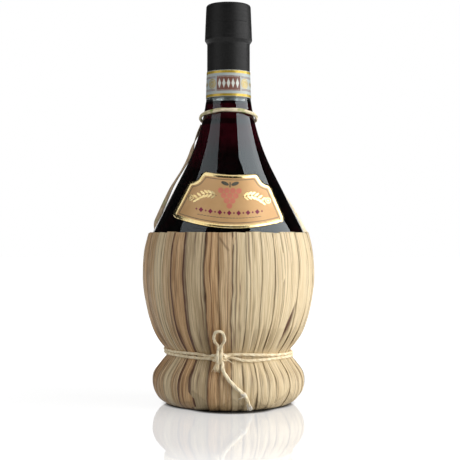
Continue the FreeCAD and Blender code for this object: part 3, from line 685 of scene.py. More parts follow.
strand(bm, knot_route((1.6, 0.2, 4.9), (3.4, -0.4, 4.6), (5.4, -1.6, 3.4), (8.2, -3.6, 3.0)), 0.36, 0.5)
strand(bm, knot_route((1.4, 0.6, 4.8), (3.2, 0.2, 4.7), (4.8, -0.9, 3.9), (6.6, -2.8, 3.1)), 0.26, 0.5)
piece("waist_knot_turns", bm, [cord_finish], ["waist_knot"])


# Glass flask, and the centres of its belly's arc and the one below
belly_middle = (BODY_RADIUS - BELLY_RADIUS, BODY_Z)
lower_middle = polar(belly_middle, BELLY_RADIUS - LOWER_RADIUS, -BELLY_TURN)


def flask_strokes(inset, neck):
    """Start and strokes of the flask's profile from the axis up to the neck."""
    drop = -lower_middle[0] / cos(rad(LOWER_TURN))
    low = polar(lower_middle, drop, -LOWER_TURN)
    cap = LOWER_RADIUS - drop - inset
    high = (BODY_RADIUS - SHOULDER_RADIUS, BODY_Z)
    cone_low = polar(high, SHOULDER_RADIUS - inset, CONE_ANGLE)
    cone_reach = neck + NECK_FLARE * (1 - cos(rad(CONE_ANGLE)))
    cone_top = cone_low[1] + (cone_low[0] - cone_reach) / tan(rad(CONE_ANGLE))
    root = (neck + NECK_FLARE, cone_top + NECK_FLARE * sin(rad(CONE_ANGLE)))
    start = (0.0, low[1] - cap)
    return start, [
        ("arc", (0.0, low[1]), 90 - LOWER_TURN),
        ("arc", lower_middle, LOWER_TURN - BELLY_TURN),
        ("arc", belly_middle, BELLY_TURN),
        ("arc", high, CONE_ANGLE),
        (cone_reach, cone_top),
        ("arc", root, -CONE_ANGLE),
    ]


outer_start, outer_strokes = flask_strokes(0.0, NECK_RADIUS)
glass_points = outline_points(drawn(outer_start, outer_strokes))


def glass_radius(z):
    for (r0, z0), (r1, z1) in zip(glass_points, glass_points[1:]):
        if min(z0, z1) <= z <= max(z0, z1) and z0 != z1:
            return r0 + (r1 - r0) * (z - z0) / (z1 - z0)
    return glass_points[-1][0]


bm = drawn(outer_start, outer_strokes + [
    (NECK_RADIUS, LIP_Z), (LIP_RADIUS, LIP_Z + 2.2), (MOUTH_RADIUS, MOUTH_Z - MOUTH_ROUND),
    ("arc", (MOUTH_RADIUS - MOUTH_ROUND, MOUTH_Z - MOUTH_ROUND), 90), (BORE_RADIUS + BORE_ROUND, MOUTH_Z),
    ("arc", (BORE_RADIUS + BORE_ROUND, MOUTH_Z - BORE_ROUND), 90)])
inner_points = outline_points(drawn(*flask_strokes(WALL, BORE_RADIUS)))
tip = [v for v in bm.verts if len(v.link_edges) == 1 and v.co.z > MOUTH_Z - 2][0]
for r, z in reversed(inner_points):
    tip = grown(bm, tip, (r, 0.0, z))
piece("glass_flask", turned(bm, 160), [glass_finish], ["glass_bottle"])

# Wine, which wets the glass, up to its level in the neck
bm = drawn(*flask_strokes(WALL - WINE_WETS, BORE_RADIUS + WINE_WETS))
bmesh.ops.bisect_plane(
    bm, geom=bm.verts[:] + bm.edges[:], plane_co=(0, 0, WINE_LEVEL), plane_no=(0, 0, 1), clear_outer=True)
tip = max(bm.verts, key=lambda v: v.co.z)
crest = grown(bm, tip, (tip.co.x - 0.9, 0.0, WINE_LEVEL - 0.45))
grown(bm, crest, (0.0, 0.0, WINE_LEVEL - 0.5))
piece("red_wine", turned(bm), [wine_finish], ["wine_fill"])

# Cork
bm = drawn((0.0, CORK_LOW), [
    (CORK_RADIUS - CORK_CHAMFER, CORK_LOW), (CORK_RADIUS, CORK_LOW + CORK_CHAMFER), (CORK_RADIUS, CORK_TOP - 22.0),
    (CORK_RADIUS, CORK_TOP - CORK_CHAMFER), (CORK_RADIUS - CORK_CHAMFER, CORK_TOP), (0.0, CORK_TOP)])
cork = piece("cork_bark_stopper", turned(bm, 72), [cork_finish], ["cork_stopper"], "cork")
crisp = cork.modifiers.new("edges", "EDGE_SPLIT")
crisp.split_angle = rad(30)

# Capsule: cap above the tear line, disc in its top, sleeve below
bm = drawn((14.12, TEAR_Z), [
    (14.70, TEAR_Z), (14.69, TEAR_Z + 0.15), (14.25, MOUTH_Z - 0.8), ("arc", (12.45, MOUTH_Z - 0.8), 90),
    (8.9, MOUTH_Z + 1.0), (8.85, MOUTH_Z + 0.6), (12.45, MOUTH_Z + 0.6), ("arc", (12.45, MOUTH_Z - 0.8), -90),
    (14.12, TEAR_Z)], 0.5)
piece("capsule_cap_film", turned(bm), [capsule_finish], ["capsule_cap"], "capsule")
bm = drawn((0.0, MOUTH_Z + 0.1), [
    (12.3, MOUTH_Z + 0.1), (12.3, MOUTH_Z + 0.5), (8.4, MOUTH_Z + 0.5), (8.0, MOUTH_Z + 0.38), (7.6, MOUTH_Z + 0.5),
    (0.0, MOUTH_Z + 0.5)])
piece("capsule_top_disc", turned(bm, 96), [capsule_finish], ["capsule_disc"], "capsule")
SLEEVE_TOP = TEAR_Z - 0.08
SLEEVE_LOW = BAND_TOP - 3.0
bm = drawn((14.13, SLEEVE_TOP), [
    (14.72, SLEEVE_TOP), (14.73, SLEEVE_TOP - 0.15), (15.04, 233.1), (15.03, 232.9), (14.97, 232.7), (15.08, 232.4),
    (15.15, 231.2), (15.12, 230.9), (14.98, 230.6), (13.86, 228.9), (13.72, 228.6), (13.66, 228.2), (13.63, 227.0),
    (13.66, NECK_ROOT), (13.72, SLEEVE_LOW), (13.28, SLEEVE_LOW), (13.25, 228.6), (14.72, 230.9),
    (14.13, SLEEVE_TOP)])
piece("capsule_sleeve_film", turned(bm), [capsule_finish], ["capsule_sleeve"])


# Paper band with gold edge lines and a plain ornament
def band_radius(z):
    share = (z - BAND_LOW) / (BAND_TOP - BAND_LOW)
    return BAND_LOW_RADIUS + (BAND_TOP_RADIUS - BAND_LOW_RADIUS) * share


def on_band(point):
    return at(band_radius(point.y) + point.z, deg(point.x / 14.2), point.y)


band_rows = (BAND_LOW + BAND_EDGE, BAND_LOW + BAND_LINE, BAND_TOP - BAND_LINE, BAND_TOP - BAND_EDGE)
band_start = (BAND_LOW_RADIUS - BAND_PLY, BAND_LOW)
bm = drawn(band_start, [(BAND_LOW_RADIUS, BAND_LOW)] + [(band_radius(z), z) for z in band_rows] + [
    (BAND_TOP_RADIUS, BAND_TOP), (BAND_TOP_RADIUS - BAND_PLY, BAND_TOP), band_start])
turned(bm)
for face in bm.faces:
    middle = face.calc_center_median()
    edge_gap = min(middle.z - BAND_LOW, BAND_TOP - middle.z)
    face.material_index = 1 if BAND_EDGE < edge_gap < BAND_LINE else 0
piece("neck_band_paper", bm, [band_paper, gold_ink], ["neck_band"])

# Flat print, which lies just above the paper
PRINT_LIFT = 0.05
UNDER_PRINT = 0.04
OVER_PRINT = 0.07


def spot(bm, x, z, wide, high, sides, turn=0.0, lift=PRINT_LIFT):
    """Many-sided spot of print."""
    size = Matrix.Diagonal((wide, high, 1.0, 1.0))
    place = Matrix.Translation((x, z, lift)) @ Matrix.Rotation(rad(turn), 4, "Z") @ size
    bmesh.ops.create_circle(bm, cap_ends=True, segments=sides, radius=1.0, matrix=place)


def bar(bm, x, z, wide, high, parts, lift=PRINT_LIFT):
    """Bar of print, divided so that it can bend."""
    place = Matrix.Translation((x, z, lift)) @ Matrix.Diagonal((wide / 2, high / 2, 1.0, 1.0))
    bmesh.ops.create_grid(bm, x_segments=parts, y_segments=1, size=1.0, matrix=place)


def ring_mark(bm, x, z, outer, inner, sides):
    """Ring of print."""
    made = bmesh.ops.create_circle(
        bm, cap_ends=True, segments=sides, radius=outer, matrix=Matrix.Translation((x, z, PRINT_LIFT)))
    disc = made["verts"][0].link_faces[0]
    bmesh.ops.inset_region(bm, faces=[disc], thickness=outer - inner, use_boundary=True)
    bmesh.ops.delete(bm, geom=[disc], context="FACES")


def printed(name, bm, wrap, ink):
    for vert in bm.verts:
        vert.co = wrap(vert.co)
    bmesh.ops.recalc_face_normals(bm, faces=bm.faces)
    for face in bm.faces:
        if face.normal.dot(face.calc_center_median() * Vector((1, 1, 0))) < 0:
            face.normal_flip()
    return piece(name, bm, [ink])


BAND_MIDDLE = (BAND_LOW + BAND_TOP) / 2
ROUNDEL = 11.6
bm = bmesh.new()
bar(bm, 0.0, BAND_MIDDLE, 15.6, 9.4, 18, UNDER_PRINT)
for side in (-1, 1):
    for rise in (-4.3, -3.6, 3.6, 4.3):
        bar(bm, side * 14.2, BAND_MIDDLE + rise, 11.0, 0.3, 10, UNDER_PRINT)
printed("band_brown_print", bm, on_band, brown_print)
bm = bmesh.new()
for step in range(-2, 3):
    spot(bm, step * 2.9, BAND_MIDDLE, 1.1, 3.1, 4, lift=OVER_PRINT)
for step in range(-12, 13):
    for rise in (4.1, -4.1):
        spot(bm, step * 0.6, BAND_MIDDLE + rise, 0.15, 0.15, 8, lift=OVER_PRINT)
printed("band_pale_print", bm, on_band, pale_print)
bm = bmesh.new()
for side in (-1, 1):
    ring_mark(bm, side * ROUNDEL, BAND_MIDDLE, 3.0, 2.5, 32)
    ring_mark(bm, side * ROUNDEL, BAND_MIDDLE, 2.0, 1.5, 28)
    for petal in range(8):
        spot(bm, *polar((side * ROUNDEL, BAND_MIDDLE), 0.9, petal * 45), 0.34, 0.34, 10)
    for step in range(5):
        spot(bm, side * (16.8 + step * 1.5), BAND_MIDDLE, 0.5, 1.7, 4)
printed("band_gold_print", bm, on_band, gold_ink)


# Front label: embossed gold border, thin line, copper paper
def on_label(point):
    """A point of the flat label, laid on the shoulder: across, up and lift."""
    middle = LABEL_TOP[1] / 2
    level, slant = polar((0.0, 0.0), 1.0, LABEL_ROLL)
    x = point.x * level + (point.y - middle) * slant
    z = LABEL_BASE + middle - point.x * slant + (point.y - middle) * level
    reach = glass_radius(z) + (PAPER_LIFT + point.z) / cos(rad(CONE_ANGLE))
    laid = Vector((x, -sqrt(reach * reach - x * x), z))
    return Matrix.Rotation(rad(LABEL_TURN), 3, "Z") @ laid


def sliced(bm, place, way):
    """Cuts a sheet along a plane, so that it can bend."""
    bmesh.ops.bisect_plane(bm, geom=bm.verts[:] + bm.edges[:] + bm.faces[:], plane_co=place, plane_no=way)


low_arc = (LABEL_HALF ** 2 + LABEL_CORNER ** 2) / (2 * LABEL_CORNER)
top_arc = (LABEL_TOP[0] ** 2 + LABEL_SAG ** 2) / (2 * LABEL_SAG)
bm = drawn((-LABEL_HALF, LABEL_CORNER), [
    ("arc", (0.0, low_arc), 2 * deg(asin(LABEL_HALF / low_arc))),
    LABEL_SHOULDER, LABEL_NOTCH, LABEL_TOP,
    ("arc", (0.0, LABEL_TOP[1] - LABEL_SAG + top_arc), -2 * deg(asin(LABEL_TOP[0] / top_arc))),
    (-LABEL_NOTCH[0], LABEL_NOTCH[1]), (-LABEL_SHOULDER[0], LABEL_SHOULDER[1])], 3.0)
for vert in bm.verts:
    vert.co = (vert.co.x, vert.co.z, 0.0)
bm.edges.new([v for v in bm.verts if len(v.link_edges) == 1])
bmesh.ops.contextual_create(bm, geom=bm.edges[:])
corners = [v for v in bm.verts if v.calc_edge_angle() > rad(12)]
low_corners = [v for v in corners if v.co.y < LABEL_SHOULDER[1] / 2]
high_corners = [v for v in corners if v not in low_corners]
for rounded, share, segments in ((high_corners, 0.75, 5), (low_corners, 1.7, 7)):
    bmesh.ops.bevel(
        bm, geom=rounded, offset=LABEL_ROUND * share, affect="VERTICES", segments=segments, profile=0.5, material=-1)
bmesh.ops.recalc_face_normals(bm, faces=bm.faces)
if bm.faces[:][0].normal.z < 0:
    bmesh.ops.reverse_faces(bm, faces=bm.faces)
inner = bm.faces[:]
FOIL, PAPER_FACE, LINE = range(3)
BORDER = (
    (0.55, 0.2, FOIL), (0.6, 0.14, FOIL), (0.6, -0.14, FOIL), (0.55, -0.2, FOIL), (0.3, 0.0, PAPER_FACE),
    (0.3, 0.0, PAPER_FACE), (0.3, 0.0, PAPER_FACE), (0.36, 0.0, LINE))
for width, rise, index in BORDER:
    rim = bmesh.ops.inset_region(
        bm, faces=inner, thickness=width, depth=rise, use_even_offset=True, use_boundary=True)["faces"]
    for face in rim:
        face.material_index = index
    bmesh.ops.remove_doubles(bm, verts=[v for f in inner for v in f.verts], dist=0.25)
    inner = [max(bm.faces, key=lambda f: len(f.verts))]
inner[0].material_index = PAPER_FACE
for step in range(-20, 21):
    sliced(bm, (step * 1.75 + 0.11, 0, 0), (1, 0, 0))
for step in range(1, 8):
    sliced(bm, (0, step * 4.4 + 0.13, 0), (0, 1, 0))
for vert in bm.verts:
    vert.co = on_label(vert.co)
label = piece("front_label_sheet", bm, [gold_foil, label_paper, dark_print], ["front_label"])
thickened(label, "paper", PAPER_PLY, -1.0)

# Label ornament: a bunch of grapes between two sprigs, above a row of lozenges
BERRY = 1.75
SPRIG_Z = 20.2
SPRIG_WAVE = 0.75
bm = bmesh.new()
for row in range(4):
    for berry in range(4 - row):
        spot(bm, (berry - (3 - row) / 2) * 2.1 * BERRY, 23.2 - row * 1.8 * BERRY, BERRY, BERRY, 22)
printed("label_rose_print", bm, on_label, rose_print)
bm = bmesh.new()
for side in (-1, 1):
    for leaf in range(6):
        x = 9.6 + leaf * 2.15
        z = SPRIG_Z + 1.3 * sin(leaf * SPRIG_WAVE) - leaf * 0.35
        for way in (1, -1):
            spot(bm, side * (x + 0.5), z + way * 1.25, 1.75, 0.66, 14, side * way * 38)
    ring_mark(bm, side * 23.8, 18.2, 1.9, 1.3, 28)
    spot(bm, side * 23.8, 18.2, 0.75, 0.75, 16)
printed("label_gold_print", bm, on_label, gold_foil)
bm = bmesh.new()
for step in range(-7, 8):
    wide = 1.45 if step % 2 == 0 else 0.65
    spot(bm, step * 2.85, 9.4 + step * step * 0.041, wide, wide * 1.1, 4)
printed("label_burgundy_print", bm, on_label, wine_print)
bm = bmesh.new()
for step in range(-10, 10):
    bar(bm, step * 1.95 + 0.97, 6.3 + (step + 0.5) ** 2 * 0.019, 1.6, 0.3, 2)
for side in (-1, 1):
    for leaf in range(7):
        x = 9.0 + leaf * 2.1
        bar(bm, side * x, SPRIG_Z + 1.3 * sin(leaf * SPRIG_WAVE - 0.3) - leaf * 0.34, 2.0, 0.3, 2, UNDER_PRINT)
    spot(bm, side * 3.1, 27.6, 2.5, 1.1, 16, side * 22)
bar(bm, 0.0, 26.8, 0.7, 3.2, 1)
printed("label_dark_print", bm, on_label, dark_print)


# Twisted carrying ring and its two straps
def ring_line(radius, z, steps, turns, phase, wide, high):
    """Closed line of one leaf that twists round a level ring."""
    points = []
    for step in range(steps):
        azimuth = step * 360.0 / steps
        twist = rad(azimuth * turns + phase)
        points.append(at(radius + wide * cos(twist), azimuth, z + high * sin(twist)))
    return points


bm = bmesh.new()
tilt = Matrix.Rotation(rad(-RING_TILT), 3, "X")
ring_middle = Vector((0, RING_PUSH, RING_Z + RING_LIFT))
for phase, radius, index in ((0, 0.78, 0), (140, 0.70, 1), (240, 0.72, 0)):
    level_line = ring_line(RING_RADIUS, 0.0, 180, RING_TWIST, phase, 0.3, 0.55)
    strand(bm, [tilt @ point + ring_middle for point in level_line], radius, closed=True, finish_index=index)
piece("neck_ring_twist", bm, [cream_twist, green_twist], ["neck_ring"])


def strap_stations(node):
    """Middles of the strap's sections from the ring down to the rim."""
    corners = {tuple(round(c, 6) for c in v.co) for v in nodes[node].data.vertices}
    ordered = sorted((Vector(c) / MM for c in corners), key=lambda p: -p.z)
    return [sum(ordered[i:i + 4], Vector()) / 4 for i in range(0, len(ordered) - 3, 4)]


def strap(name, node, coat, seed, facing, half_width):
    """Flat leaf that turns to face the front, lies slack below the ring and keeps clear of the glass."""
    line = route(strap_stations(node))
    last = len(line) - 1
    bm = bmesh.new()
    bmesh.ops.create_grid(bm, x_segments=6, y_segments=last, size=1.0)
    for vert in bm.verts:
        u = vert.co.x
        index = round((vert.co.y + 1) / 2 * last)
        here = line[index]
        ahead = (line[min(index + 1, last)] - line[max(index - 1, 0)]).normalized()
        outside = Vector((here.x, here.y, 0)).normalized()
        wide = ahead.cross(outside).normalized()
        share = index / last
        free = eased(share, 0.02, 0.2) * (1 - eased(share, 0.82, 0.97))
        twist = rad(facing + 14 * sin(share * 9.0 + seed)) * free
        lay = wide * cos(twist) + outside * sin(twist)
        half = half_width + 0.3 * wander(seed, share * 6)
        stand_off = 0.6 - 1.8 * swell(share, 0.24, 0.16) + eased(share, 0.35, 0.55) + 0.3 * (1 - u * u)
        spread = here + lay * (u * half) + outside * (stand_off * free)
        clear = glass_radius(spread.z) + STRAP_CLEAR
        vert.co = spread + outside * max(0.0, clear - spread.xy.length)
    bmesh.ops.recalc_face_normals(bm, faces=bm.faces)
    thickened(piece(name, bm, [coat], [node]), "leaf", STRAP_PLY, 0.0)


strap("left_strap_leaf", "carry_strap_left", brown_twist, 1, 54, 1.75)
strap("right_strap_leaf", "carry_strap_right", cream_twist, 4, -48, 1.9)

# Hoop inside the rim and rolled straw foot ring
HOOP_RADIUS = 0.3
HOOP_TWIST = 20
hoop_low, hoop_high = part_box("rim_hoop")
hoop_reach = hoop_high.x / MM - HOOP_RADIUS
hoop_z = (hoop_low.z + hoop_high.z) / 2 / MM
bm = bmesh.new()
for phase in (0, 180):
    strand(bm, ring_line(hoop_reach, hoop_z, 240, HOOP_TWIST, phase, 0.12, 0.12), 0.18, closed=True)
piece("rim_hoop_twist", bm, [brown_twist], ["rim_hoop"])

FOOT_FURROWS = 44
bm = drawn((FOOT[0] + FOOT_SECTION, FOOT[1]), [("arc", FOOT, 359.0)], 2.0)
turned(bm, 240)
for vert in bm.verts:
    azimuth = deg(atan2(vert.co.x, -vert.co.y))
    reach = hypot(vert.co.x, vert.co.y)
    around = deg(atan2(vert.co.z - FOOT[1], reach - FOOT[0]))
    furrow = 0.35 * (1 + cos(rad(azimuth * FOOT_FURROWS + around * 3)))
    sunk = furrow + 0.2 * (1 + wander(2, azimuth * 0.11))
    core = at(FOOT[0], azimuth, FOOT[1])
    vert.co = core + (vert.co - core) * ((FOOT_SECTION - sunk) / FOOT_SECTION)
piece("foot_ring_roll", bm, [rolled_straw], ["foot_ring"])


# Straw skirt
def tangent_way(start, start_radius, end, end_radius, outside_first):
    """Direction of the line that touches two circles on opposite sides."""
    dr = end[0] - start[0]
    dz = end[1] - start[1]
    reach = start_radius + end_radius
    lean = deg(atan2(reach, sqrt(dr * dr + dz * dz - reach * reach)))
    heading = deg(atan2(dz, dr))
    return heading - lean if outside_first else heading + lean


skin = SKIRT_GAP + SKIRT_DEPTH
belly_out = BODY_RADIUS + skin
rim_rise = RIM_Z - BODY_Z
rim_arc = (rim_rise ** 2 + (belly_out - RIM_RADIUS) ** 2) / (2 * (belly_out - RIM_RADIUS))
rim_turn = deg(asin(rim_rise / rim_arc))
lower_out = LOWER_RADIUS + skin
down = tangent_way(lower_middle, lower_out, GROOVE, GROOVE_RADIUS, True)
flare = tangent_way(GROOVE, GROOVE_RADIUS, FOOT, FOOT_ARC, False)
skirt_points = outline_points(drawn((RIM_RADIUS, RIM_Z), [
    ("arc", (belly_out - rim_arc, BODY_Z), -rim_turn),
    ("arc", belly_middle, -BELLY_TURN),
    ("arc", lower_middle, down + 90 + BELLY_TURN),
    polar(GROOVE, GROOVE_RADIUS, down - 90),
    ("arc", GROOVE, flare - down),
    polar(FOOT, FOOT_ARC, flare + 90),
    ("arc", FOOT, -180 - flare),
    (FOOT[0] - TUCK, 0.0)], 0.8))
skirt_gone = [0.0]
for (r0, z0), (r1, z1) in zip(skirt_points, skirt_points[1:]):
    skirt_gone.append(skirt_gone[-1] + hypot(r1 - r0, z1 - z0))


def on_skirt(gone):
    """Radius, height and outward direction of the skirt's line, which may start above the rim."""
    index = 0
    while index < len(skirt_gone) - 2 and skirt_gone[index + 1] < gone:
        index += 1
    (r0, z0), (r1, z1) = skirt_points[index], skirt_points[index + 1]
    span = skirt_gone[index + 1] - skirt_gone[index]
    share = (gone - skirt_gone[index]) / span
    return r0 + (r1 - r0) * share, z0 + (z1 - z0) * share, (z0 - z1) / span, (r1 - r0) / span


def blade_place(node):
    """Azimuth of a blade's middle and half its width, from its solid."""
    points = [v.co for v in nodes[node].data.vertices]
    rough = deg(atan2(sum(p.x for p in points), -sum(p.y for p in points)))
    turns = [(deg(atan2(p.x, -p.y)) - rough + 180) % 360 - 180 for p in points]
    return rough + (min(turns) + max(turns)) / 2, (max(turns) - min(turns)) / 2


# Rows of a blade from inside the rim, over its fold and down to the tuck under the foot
FOLD = 0.5
TURN_IN = 5.0
ROW_STEP = 1.15
RIM_BLEND = 12.0
RIM_DROP = 1.0
FOOT_RUN = 60.0
fold_length = pi * FOLD
blade_rows = [i * TURN_IN / 3 for i in range(4)]
blade_rows += [TURN_IN + fold_length * i / 7 for i in range(1, 8)]
run = skirt_gone[-1]
row_count = round(run / ROW_STEP)
blade_rows += [TURN_IN + fold_length + run * i / row_count for i in range(1, row_count + 1)]

# Painted shade in the gap at a blade's left edge, and how far the edge lies to the right, as seen at the front
SEEN_GAP_SHADE_AND_SHIFT = {
    1: (0.5, 0.0), 2: (1.0, -0.5), 3: (0.4, -0.5), 4: (0.35, 0.1), 5: (0.3, 0.0), 6: (0.4, -0.45), 7: (0.4, 0.0),
    8: (0.4, 0.0), 31: (0.5, 0.0), 32: (1.7, -0.3), 33: (1.8, -0.42), 34: (0.9, 0.16)}


def blade_gap(number):
    return SEEN_GAP_SHADE_AND_SHIFT.get(number, (0.9 + 0.4 * sin(number * 2.7), 0.18 * sin(number * 1.7) - 0.14))


def straw_blade(number, slot, coat):
    """One flat blade: folded over the rim, drawn in at the waist and tucked under the foot."""
    node = "straw_blade_%02d" % number
    middle, half = blade_place(node)
    bm = bmesh.new()
    lay = bm.loops.layers.uv.new("lay")
    edge_and_shade = bm.verts.layers.float.new("edge_and_shade")
    soil_and_shade = bm.verts.layers.float.new("soil_and_shade")
    bmesh.ops.create_grid(bm, x_segments=18, y_segments=len(blade_rows) - 1, size=1.0)
    rim_top = RIM_DROP - 0.55 * wander(number, 0.7) - 0.3 * sin(number * 2.3)
    rim_slant = -0.5 * wander(number, 2.9)
    crease = 6.5 + 9.0 * wander(number, 4.4) - 8.0 * (sin(number * 4.1) > 0.25)
    crease_slant = 6.0 * sin(number * 2.45)
    split = 0.5 * sin(number * 1.9)
    split_rise = 0.28 * copysign(1, sin(number * 3.1))
    from_right = 1 - eased(abs(middle - 65), 30, 75)
    gap, shift = blade_gap(number)
    next_gap = blade_gap(number % BLADES + 1)[0]
    mapped = {}
    for vert in bm.verts:
        u = vert.co.x
        gone = blade_rows[round((vert.co.y + 1) / 2 * (len(blade_rows) - 1))]
        mapped[vert] = (u * half * 0.09 + number * 3.71, gone / 10 + number * 1.37)
        down_run = gone - TURN_IN - fold_length
        on_foot = down_run > FOOT_RUN
        top = rim_top + rim_slant * u
        blended = top + max(0.0, down_run) * (RIM_BLEND - top) / RIM_BLEND
        r, z, out_r, out_z = on_skirt(down_run if down_run > RIM_BLEND else blended)
        # Lap over the neighbour, pleats above and below the cord, and a torn step
        near_cord = eased(abs(z - WAIST_Z), 1.8, 5.5)
        pull = swell(z, 43.0, 9.0) + 0.9 * swell(z, 21.0, 7.0)
        raised = (0.1 + 0.3 * wander(number + 60, gone * 0.05) + 0.3 * pull) * near_cord * (1 - 0.7 * from_right)
        depth = -BLADE_LAP * (1 - 0.55 * from_right) * (1 + u) / 2 + raised * eased(-u, 0.1, 1.0) + 0.12 * (1 - u * u)
        depth += 0.14 * wander(number + 50, gone * 0.14 + u * 1.3)
        pleat = cos(6.0 * u + number * 2.1 + 0.04 * gone)
        depth += 0.38 * pull * near_cord * pleat
        torn = eased(wander(number + 70, gone * 0.035), -0.15, 0.2)
        beside = u - split - 0.12 * wander(number + 80, gone * 0.06)
        depth += split_rise * torn * near_cord * eased(beside, -0.06, 0.06) * (1 - eased(beside, 0.2, 0.7))
        depth -= 0.12 * (1 - near_cord)
        # Corner folded over at the front of the rim, and the slit that is parted above the cord
        slope = u + 1 - 1.05 * (down_run - 2.4) / 9.6
        flap = (number == FOLDED_BLADE) * eased(down_run, 1.5, 3.0) * (1 - eased(down_run, 11.0, 12.5))
        depth += 0.3 * flap * eased(slope, -0.06, 0.06)
        slit_way = abs(u + 0.05 - 0.55 * (z - 43.0) / 19.0)
        slit_half = 0.2 + 0.24 * swell(z, 53.0, 6.0)
        gash = (number == PARTED_BLADE) * exp(-((z - 52.0) / 12.0) ** 4) * (1 - eased(slit_way, 0.1, slit_half))
        depth -= 0.8 * gash
        # Edges that wander and part
        lean = half * (u + 0.12 * wander(number + 20, gone * 0.045) + 0.09 * u * wander(number + 30, gone * 0.11))
        parting = shift + max(0.0, 0.06 * gap + 0.25 * wander(number + 90, gone * 0.03))
        lean += half * parting * eased(-u, 0.0, 1.0)
        if down_run < 0:
            bend = min(pi, -down_run / FOLD)
            inside = max(0.0, -down_run - fold_length)
            back = depth - FOLD + FOLD * cos(bend)
            rise = FOLD * sin(bend) - inside
            r += out_r * back - out_z * rise
            z += out_z * back + out_r * rise
        else:
            r += out_r * depth
            z += out_z * depth
        # Foot, squarer than round, with a crease above the floor
        facet = -9.0
        if on_foot and z < FOOT[1] and out_r > 0:
            square = FOOT_SQUARE + FOOT_SIDE * sin(rad(middle + lean)) ** 2
            r += FOOT_ARC * (out_r ** square - out_r)
            facet = crease + crease_slant * u - z
            r -= 0.16 * max(0.0, facet) * eased(z, 0.0, 4.0)
        if on_foot:
            z = max(z, 0.02 + 0.08 * (1 + wander(number, u)))
        vert.co = at(r, middle + lean, z)
        # Dark seams for the straw's colour: the blades' browner edges, and painted shade in the gaps between blades,
        # along the pleat valleys, the fold and the foot's crease, and in the slit; and darkening towards the floor
        # with painted shade
        left = gap * eased(-u, 0.94 - 0.16 * gap - 0.15 * pull * near_cord * (1 - from_right), 1.0)
        right = next_gap * eased(u, 0.74, 0.88)
        line = 0.7 * min(1.0, gap) * torn * (1 - eased(abs(beside), 0.02, 0.1))
        fold_shade = 0.4 * flap * (1 - eased(abs(slope), 0.06, 0.2))
        crease_shade = 0.22 * (1 - eased(abs(facet), 0.15, 0.8))
        valley_shade = 0.8 * pull * near_cord * eased(-pleat, 0.85, 1.0)
        worn = 0.85 + 0.5 * wander(number + 9, gone * 0.16)
        seam_and_shade = max(left, right, line) * worn
        vert[edge_and_shade] = max(0.0, min(1.0, max(seam_and_shade, valley_shade, fold_shade, crease_shade, gash)))
        # Darker towards the floor, painted shade below the crease, and painted shade on blades facing the right lamp
        # above 2 cm
        foot_soil_and_shade = max(0.75 * (1 - eased(z, 0.5, 9.0)), 0.4 * eased(facet, 0.0, 0.6))
        vert[soil_and_shade] = max(foot_soil_and_shade, 0.4 * from_right * eased(z, 14.0, 20.0)) * on_foot
    for face in bm.faces:
        for corner in face.loops:
            corner[lay].uv = mapped[corner.vert]
    bmesh.ops.recalc_face_normals(bm, faces=bm.faces)
    probe = max(bm.faces, key=lambda f: f.calc_center_median().xy.length)
    if probe.normal.dot(at(1.0, middle, 0.0)) < 0:
        bmesh.ops.reverse_faces(bm, faces=bm.faces)
    thickened(piece("blade_%02d_leaf" % number, bm, [coat], [node]), "leaf", BLADE_PLY, -1.0)


TONES = "tcccccccctcgtbctgctbctgtcbtbtctbgb"
for number, tone in enumerate(TONES, 1):
    straw_blade(number, *straws[tone])


# Floor: white to the eye, glossy near the flask, with a painted contact shadow that is dark where the foot meets it
def seen_rays(tree):
    """One on the rays that meet the eye straight, or by way of gloss or glass."""
    rays = shader_node(tree, "LightPath").outputs
    direct = summed(rays["Is Camera Ray"], rays["Is Glossy Ray"], "MAXIMUM")
    return summed(direct, rays["Is Transmission Ray"], "MAXIMUM")


WHITE = (1.0, 1.0, 1.0)
FLOOR_TONE = (0.36, 0.36, 0.36)
# Tone and middle of the painted contact shadow
PAINTED_CONTACT_SHADOW_TONE = (0.12, 0.12, 0.12)
PAINTED_SHADOW_MIDDLE = (0.002, -0.0245, 0.0)
NEAR_GLOW = 0.83
bm = bmesh.new()
bmesh.ops.create_grid(bm, x_segments=4, y_segments=4, size=6.0)
bmesh.ops.translate(bm, vec=(0, 0, -0.0002), verts=bm.verts)
floor_mesh = mesh_of("floor", bm)
floor_finish, tree, shader = finish("white gloss floor", Roughness=0.03, Emission_Color=WHITE)
reach = shader_node(tree, "VectorMath", {0: object_place(tree)}, operation="LENGTH").outputs["Value"]
polish = ranged(reach, 0.15, 0.30, 1.0, 0.0)
put(shader.inputs["Specular IOR Level"], times(polish, 0.5))
mirror = shader_node(tree, "Fresnel", {"IOR": 1.5}).outputs["Fac"]
near_glow = times(summed(1.0, mirror, "SUBTRACT"), NEAR_GLOW)
dimmed = times(polish, summed(1.0, near_glow, "SUBTRACT"))
# Painted contact shadow round the foot, reaching further to the front: a darker base colour and no glow there
from_front = shader_node(tree, "VectorMath", {0: object_place(tree), 1: PAINTED_SHADOW_MIDDLE}, operation="DISTANCE")
beyond_painted_shadow = ranged(from_front.outputs["Value"], 0.0230, 0.0294)
outside_painted_shadow = times(ranged(reach, 0.0385, 0.044), beyond_painted_shadow)
glow = times(summed(1.0, dimmed, "SUBTRACT"), outside_painted_shadow)
put(shader.inputs["Base Color"], tinted(outside_painted_shadow, PAINTED_CONTACT_SHADOW_TONE, FLOOR_TONE))
put(shader.inputs["Emission Strength"], times(seen_rays(tree), glow))
floor_mesh.materials.append(floor_finish)
floor = shown("floor", floor_mesh)

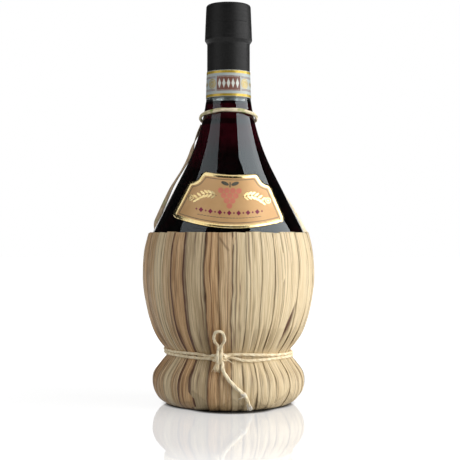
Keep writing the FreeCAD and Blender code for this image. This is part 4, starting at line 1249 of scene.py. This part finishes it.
# Dark studio walls that only the glass and the film mirror, open low down, and a flag beside the left lamp
LEFT_LAMP = -71.5
WALL_REACH = 1.6
WALL_TOP = 2.8
bm = bmesh.new()
for start, sweep, low in ((200.0, 320.0, 0.22), (160.0, 40.0, 0.37)):
    wall_foot = bm.verts.new(at(WALL_REACH, start, low))
    wall_top = grown(bm, wall_foot, at(WALL_REACH, start, WALL_TOP))
    bmesh.ops.spin(
        bm, geom=[wall_foot, wall_top, wall_foot.link_edges[0]], cent=(0, 0, 0), axis=(0, 0, 1),
        angle=rad(sweep), steps=round(sweep / 5))
flag_middle = at(0.63, LEFT_LAMP, 0.0)
flag_way = at(1.0, LEFT_LAMP - 90, 0.0)
flag = [bm.verts.new(flag_middle + flag_way * aside + Vector((0, 0, up)))
        for aside, up in ((0.144, 0.0), (0.144, 0.5), (0.44, 1.05), (0.44, 0.0))]
bmesh.ops.contextual_create(bm, geom=flag)
wall_mesh = mesh_of("studio_walls", bm)
wall_finish, tree, shader = finish("dark studio cloth", Base_Color=(0.004, 0.004, 0.004), Roughness=0.9)
wall_mesh.materials.append(wall_finish)
walls = shown("studio_walls", wall_mesh, "camera", "diffuse", "shadow")


# Soft lamps and white surroundings
def lamp(name, azimuth, distance, z, wide, high, brightness, *hidden_from):
    data = bpy.data.lights.new(name, "AREA")
    data.shape = "RECTANGLE"
    data.size = wide
    data.size_y = high
    data.energy = brightness * pi * wide * high
    made = shown(name, data, "camera", *hidden_from)
    made.location = at(distance, azimuth, z)
    made.rotation_euler = (pi / 2, 0.0, rad(azimuth))
    return made


lamp("right_softbox", 76.0, 0.65, 0.55, 1.0, 1.06, 3.2)
right_bounce = lamp("right_bounce", 48.0, 0.15, 0.03, 0.16, 0.08, 0.75, "glossy", "transmission")
right_bounce.rotation_euler.x += rad(40.0)
lamp("left_softbox", LEFT_LAMP, 0.65, 0.62, 0.83, 1.2, 0.70, "glossy")
lamp("left_gleam", LEFT_LAMP, 0.64, 0.62, 0.82, 1.18, 1.0, "diffuse")
lamp("front_fill", -30.0, 1.2, 0.5, 0.8, 0.8, 0.8, "glossy", "transmission")
world = bpy.data.worlds.new("white studio")
world.use_nodes = True
scene.world = world
tree = world.node_tree
sky = tree.nodes["Background"]
put(sky.inputs["Color"], WHITE)
put(sky.inputs["Strength"], ranged(seen_rays(tree), 0.0, 1.0, 0.17, 1.0))
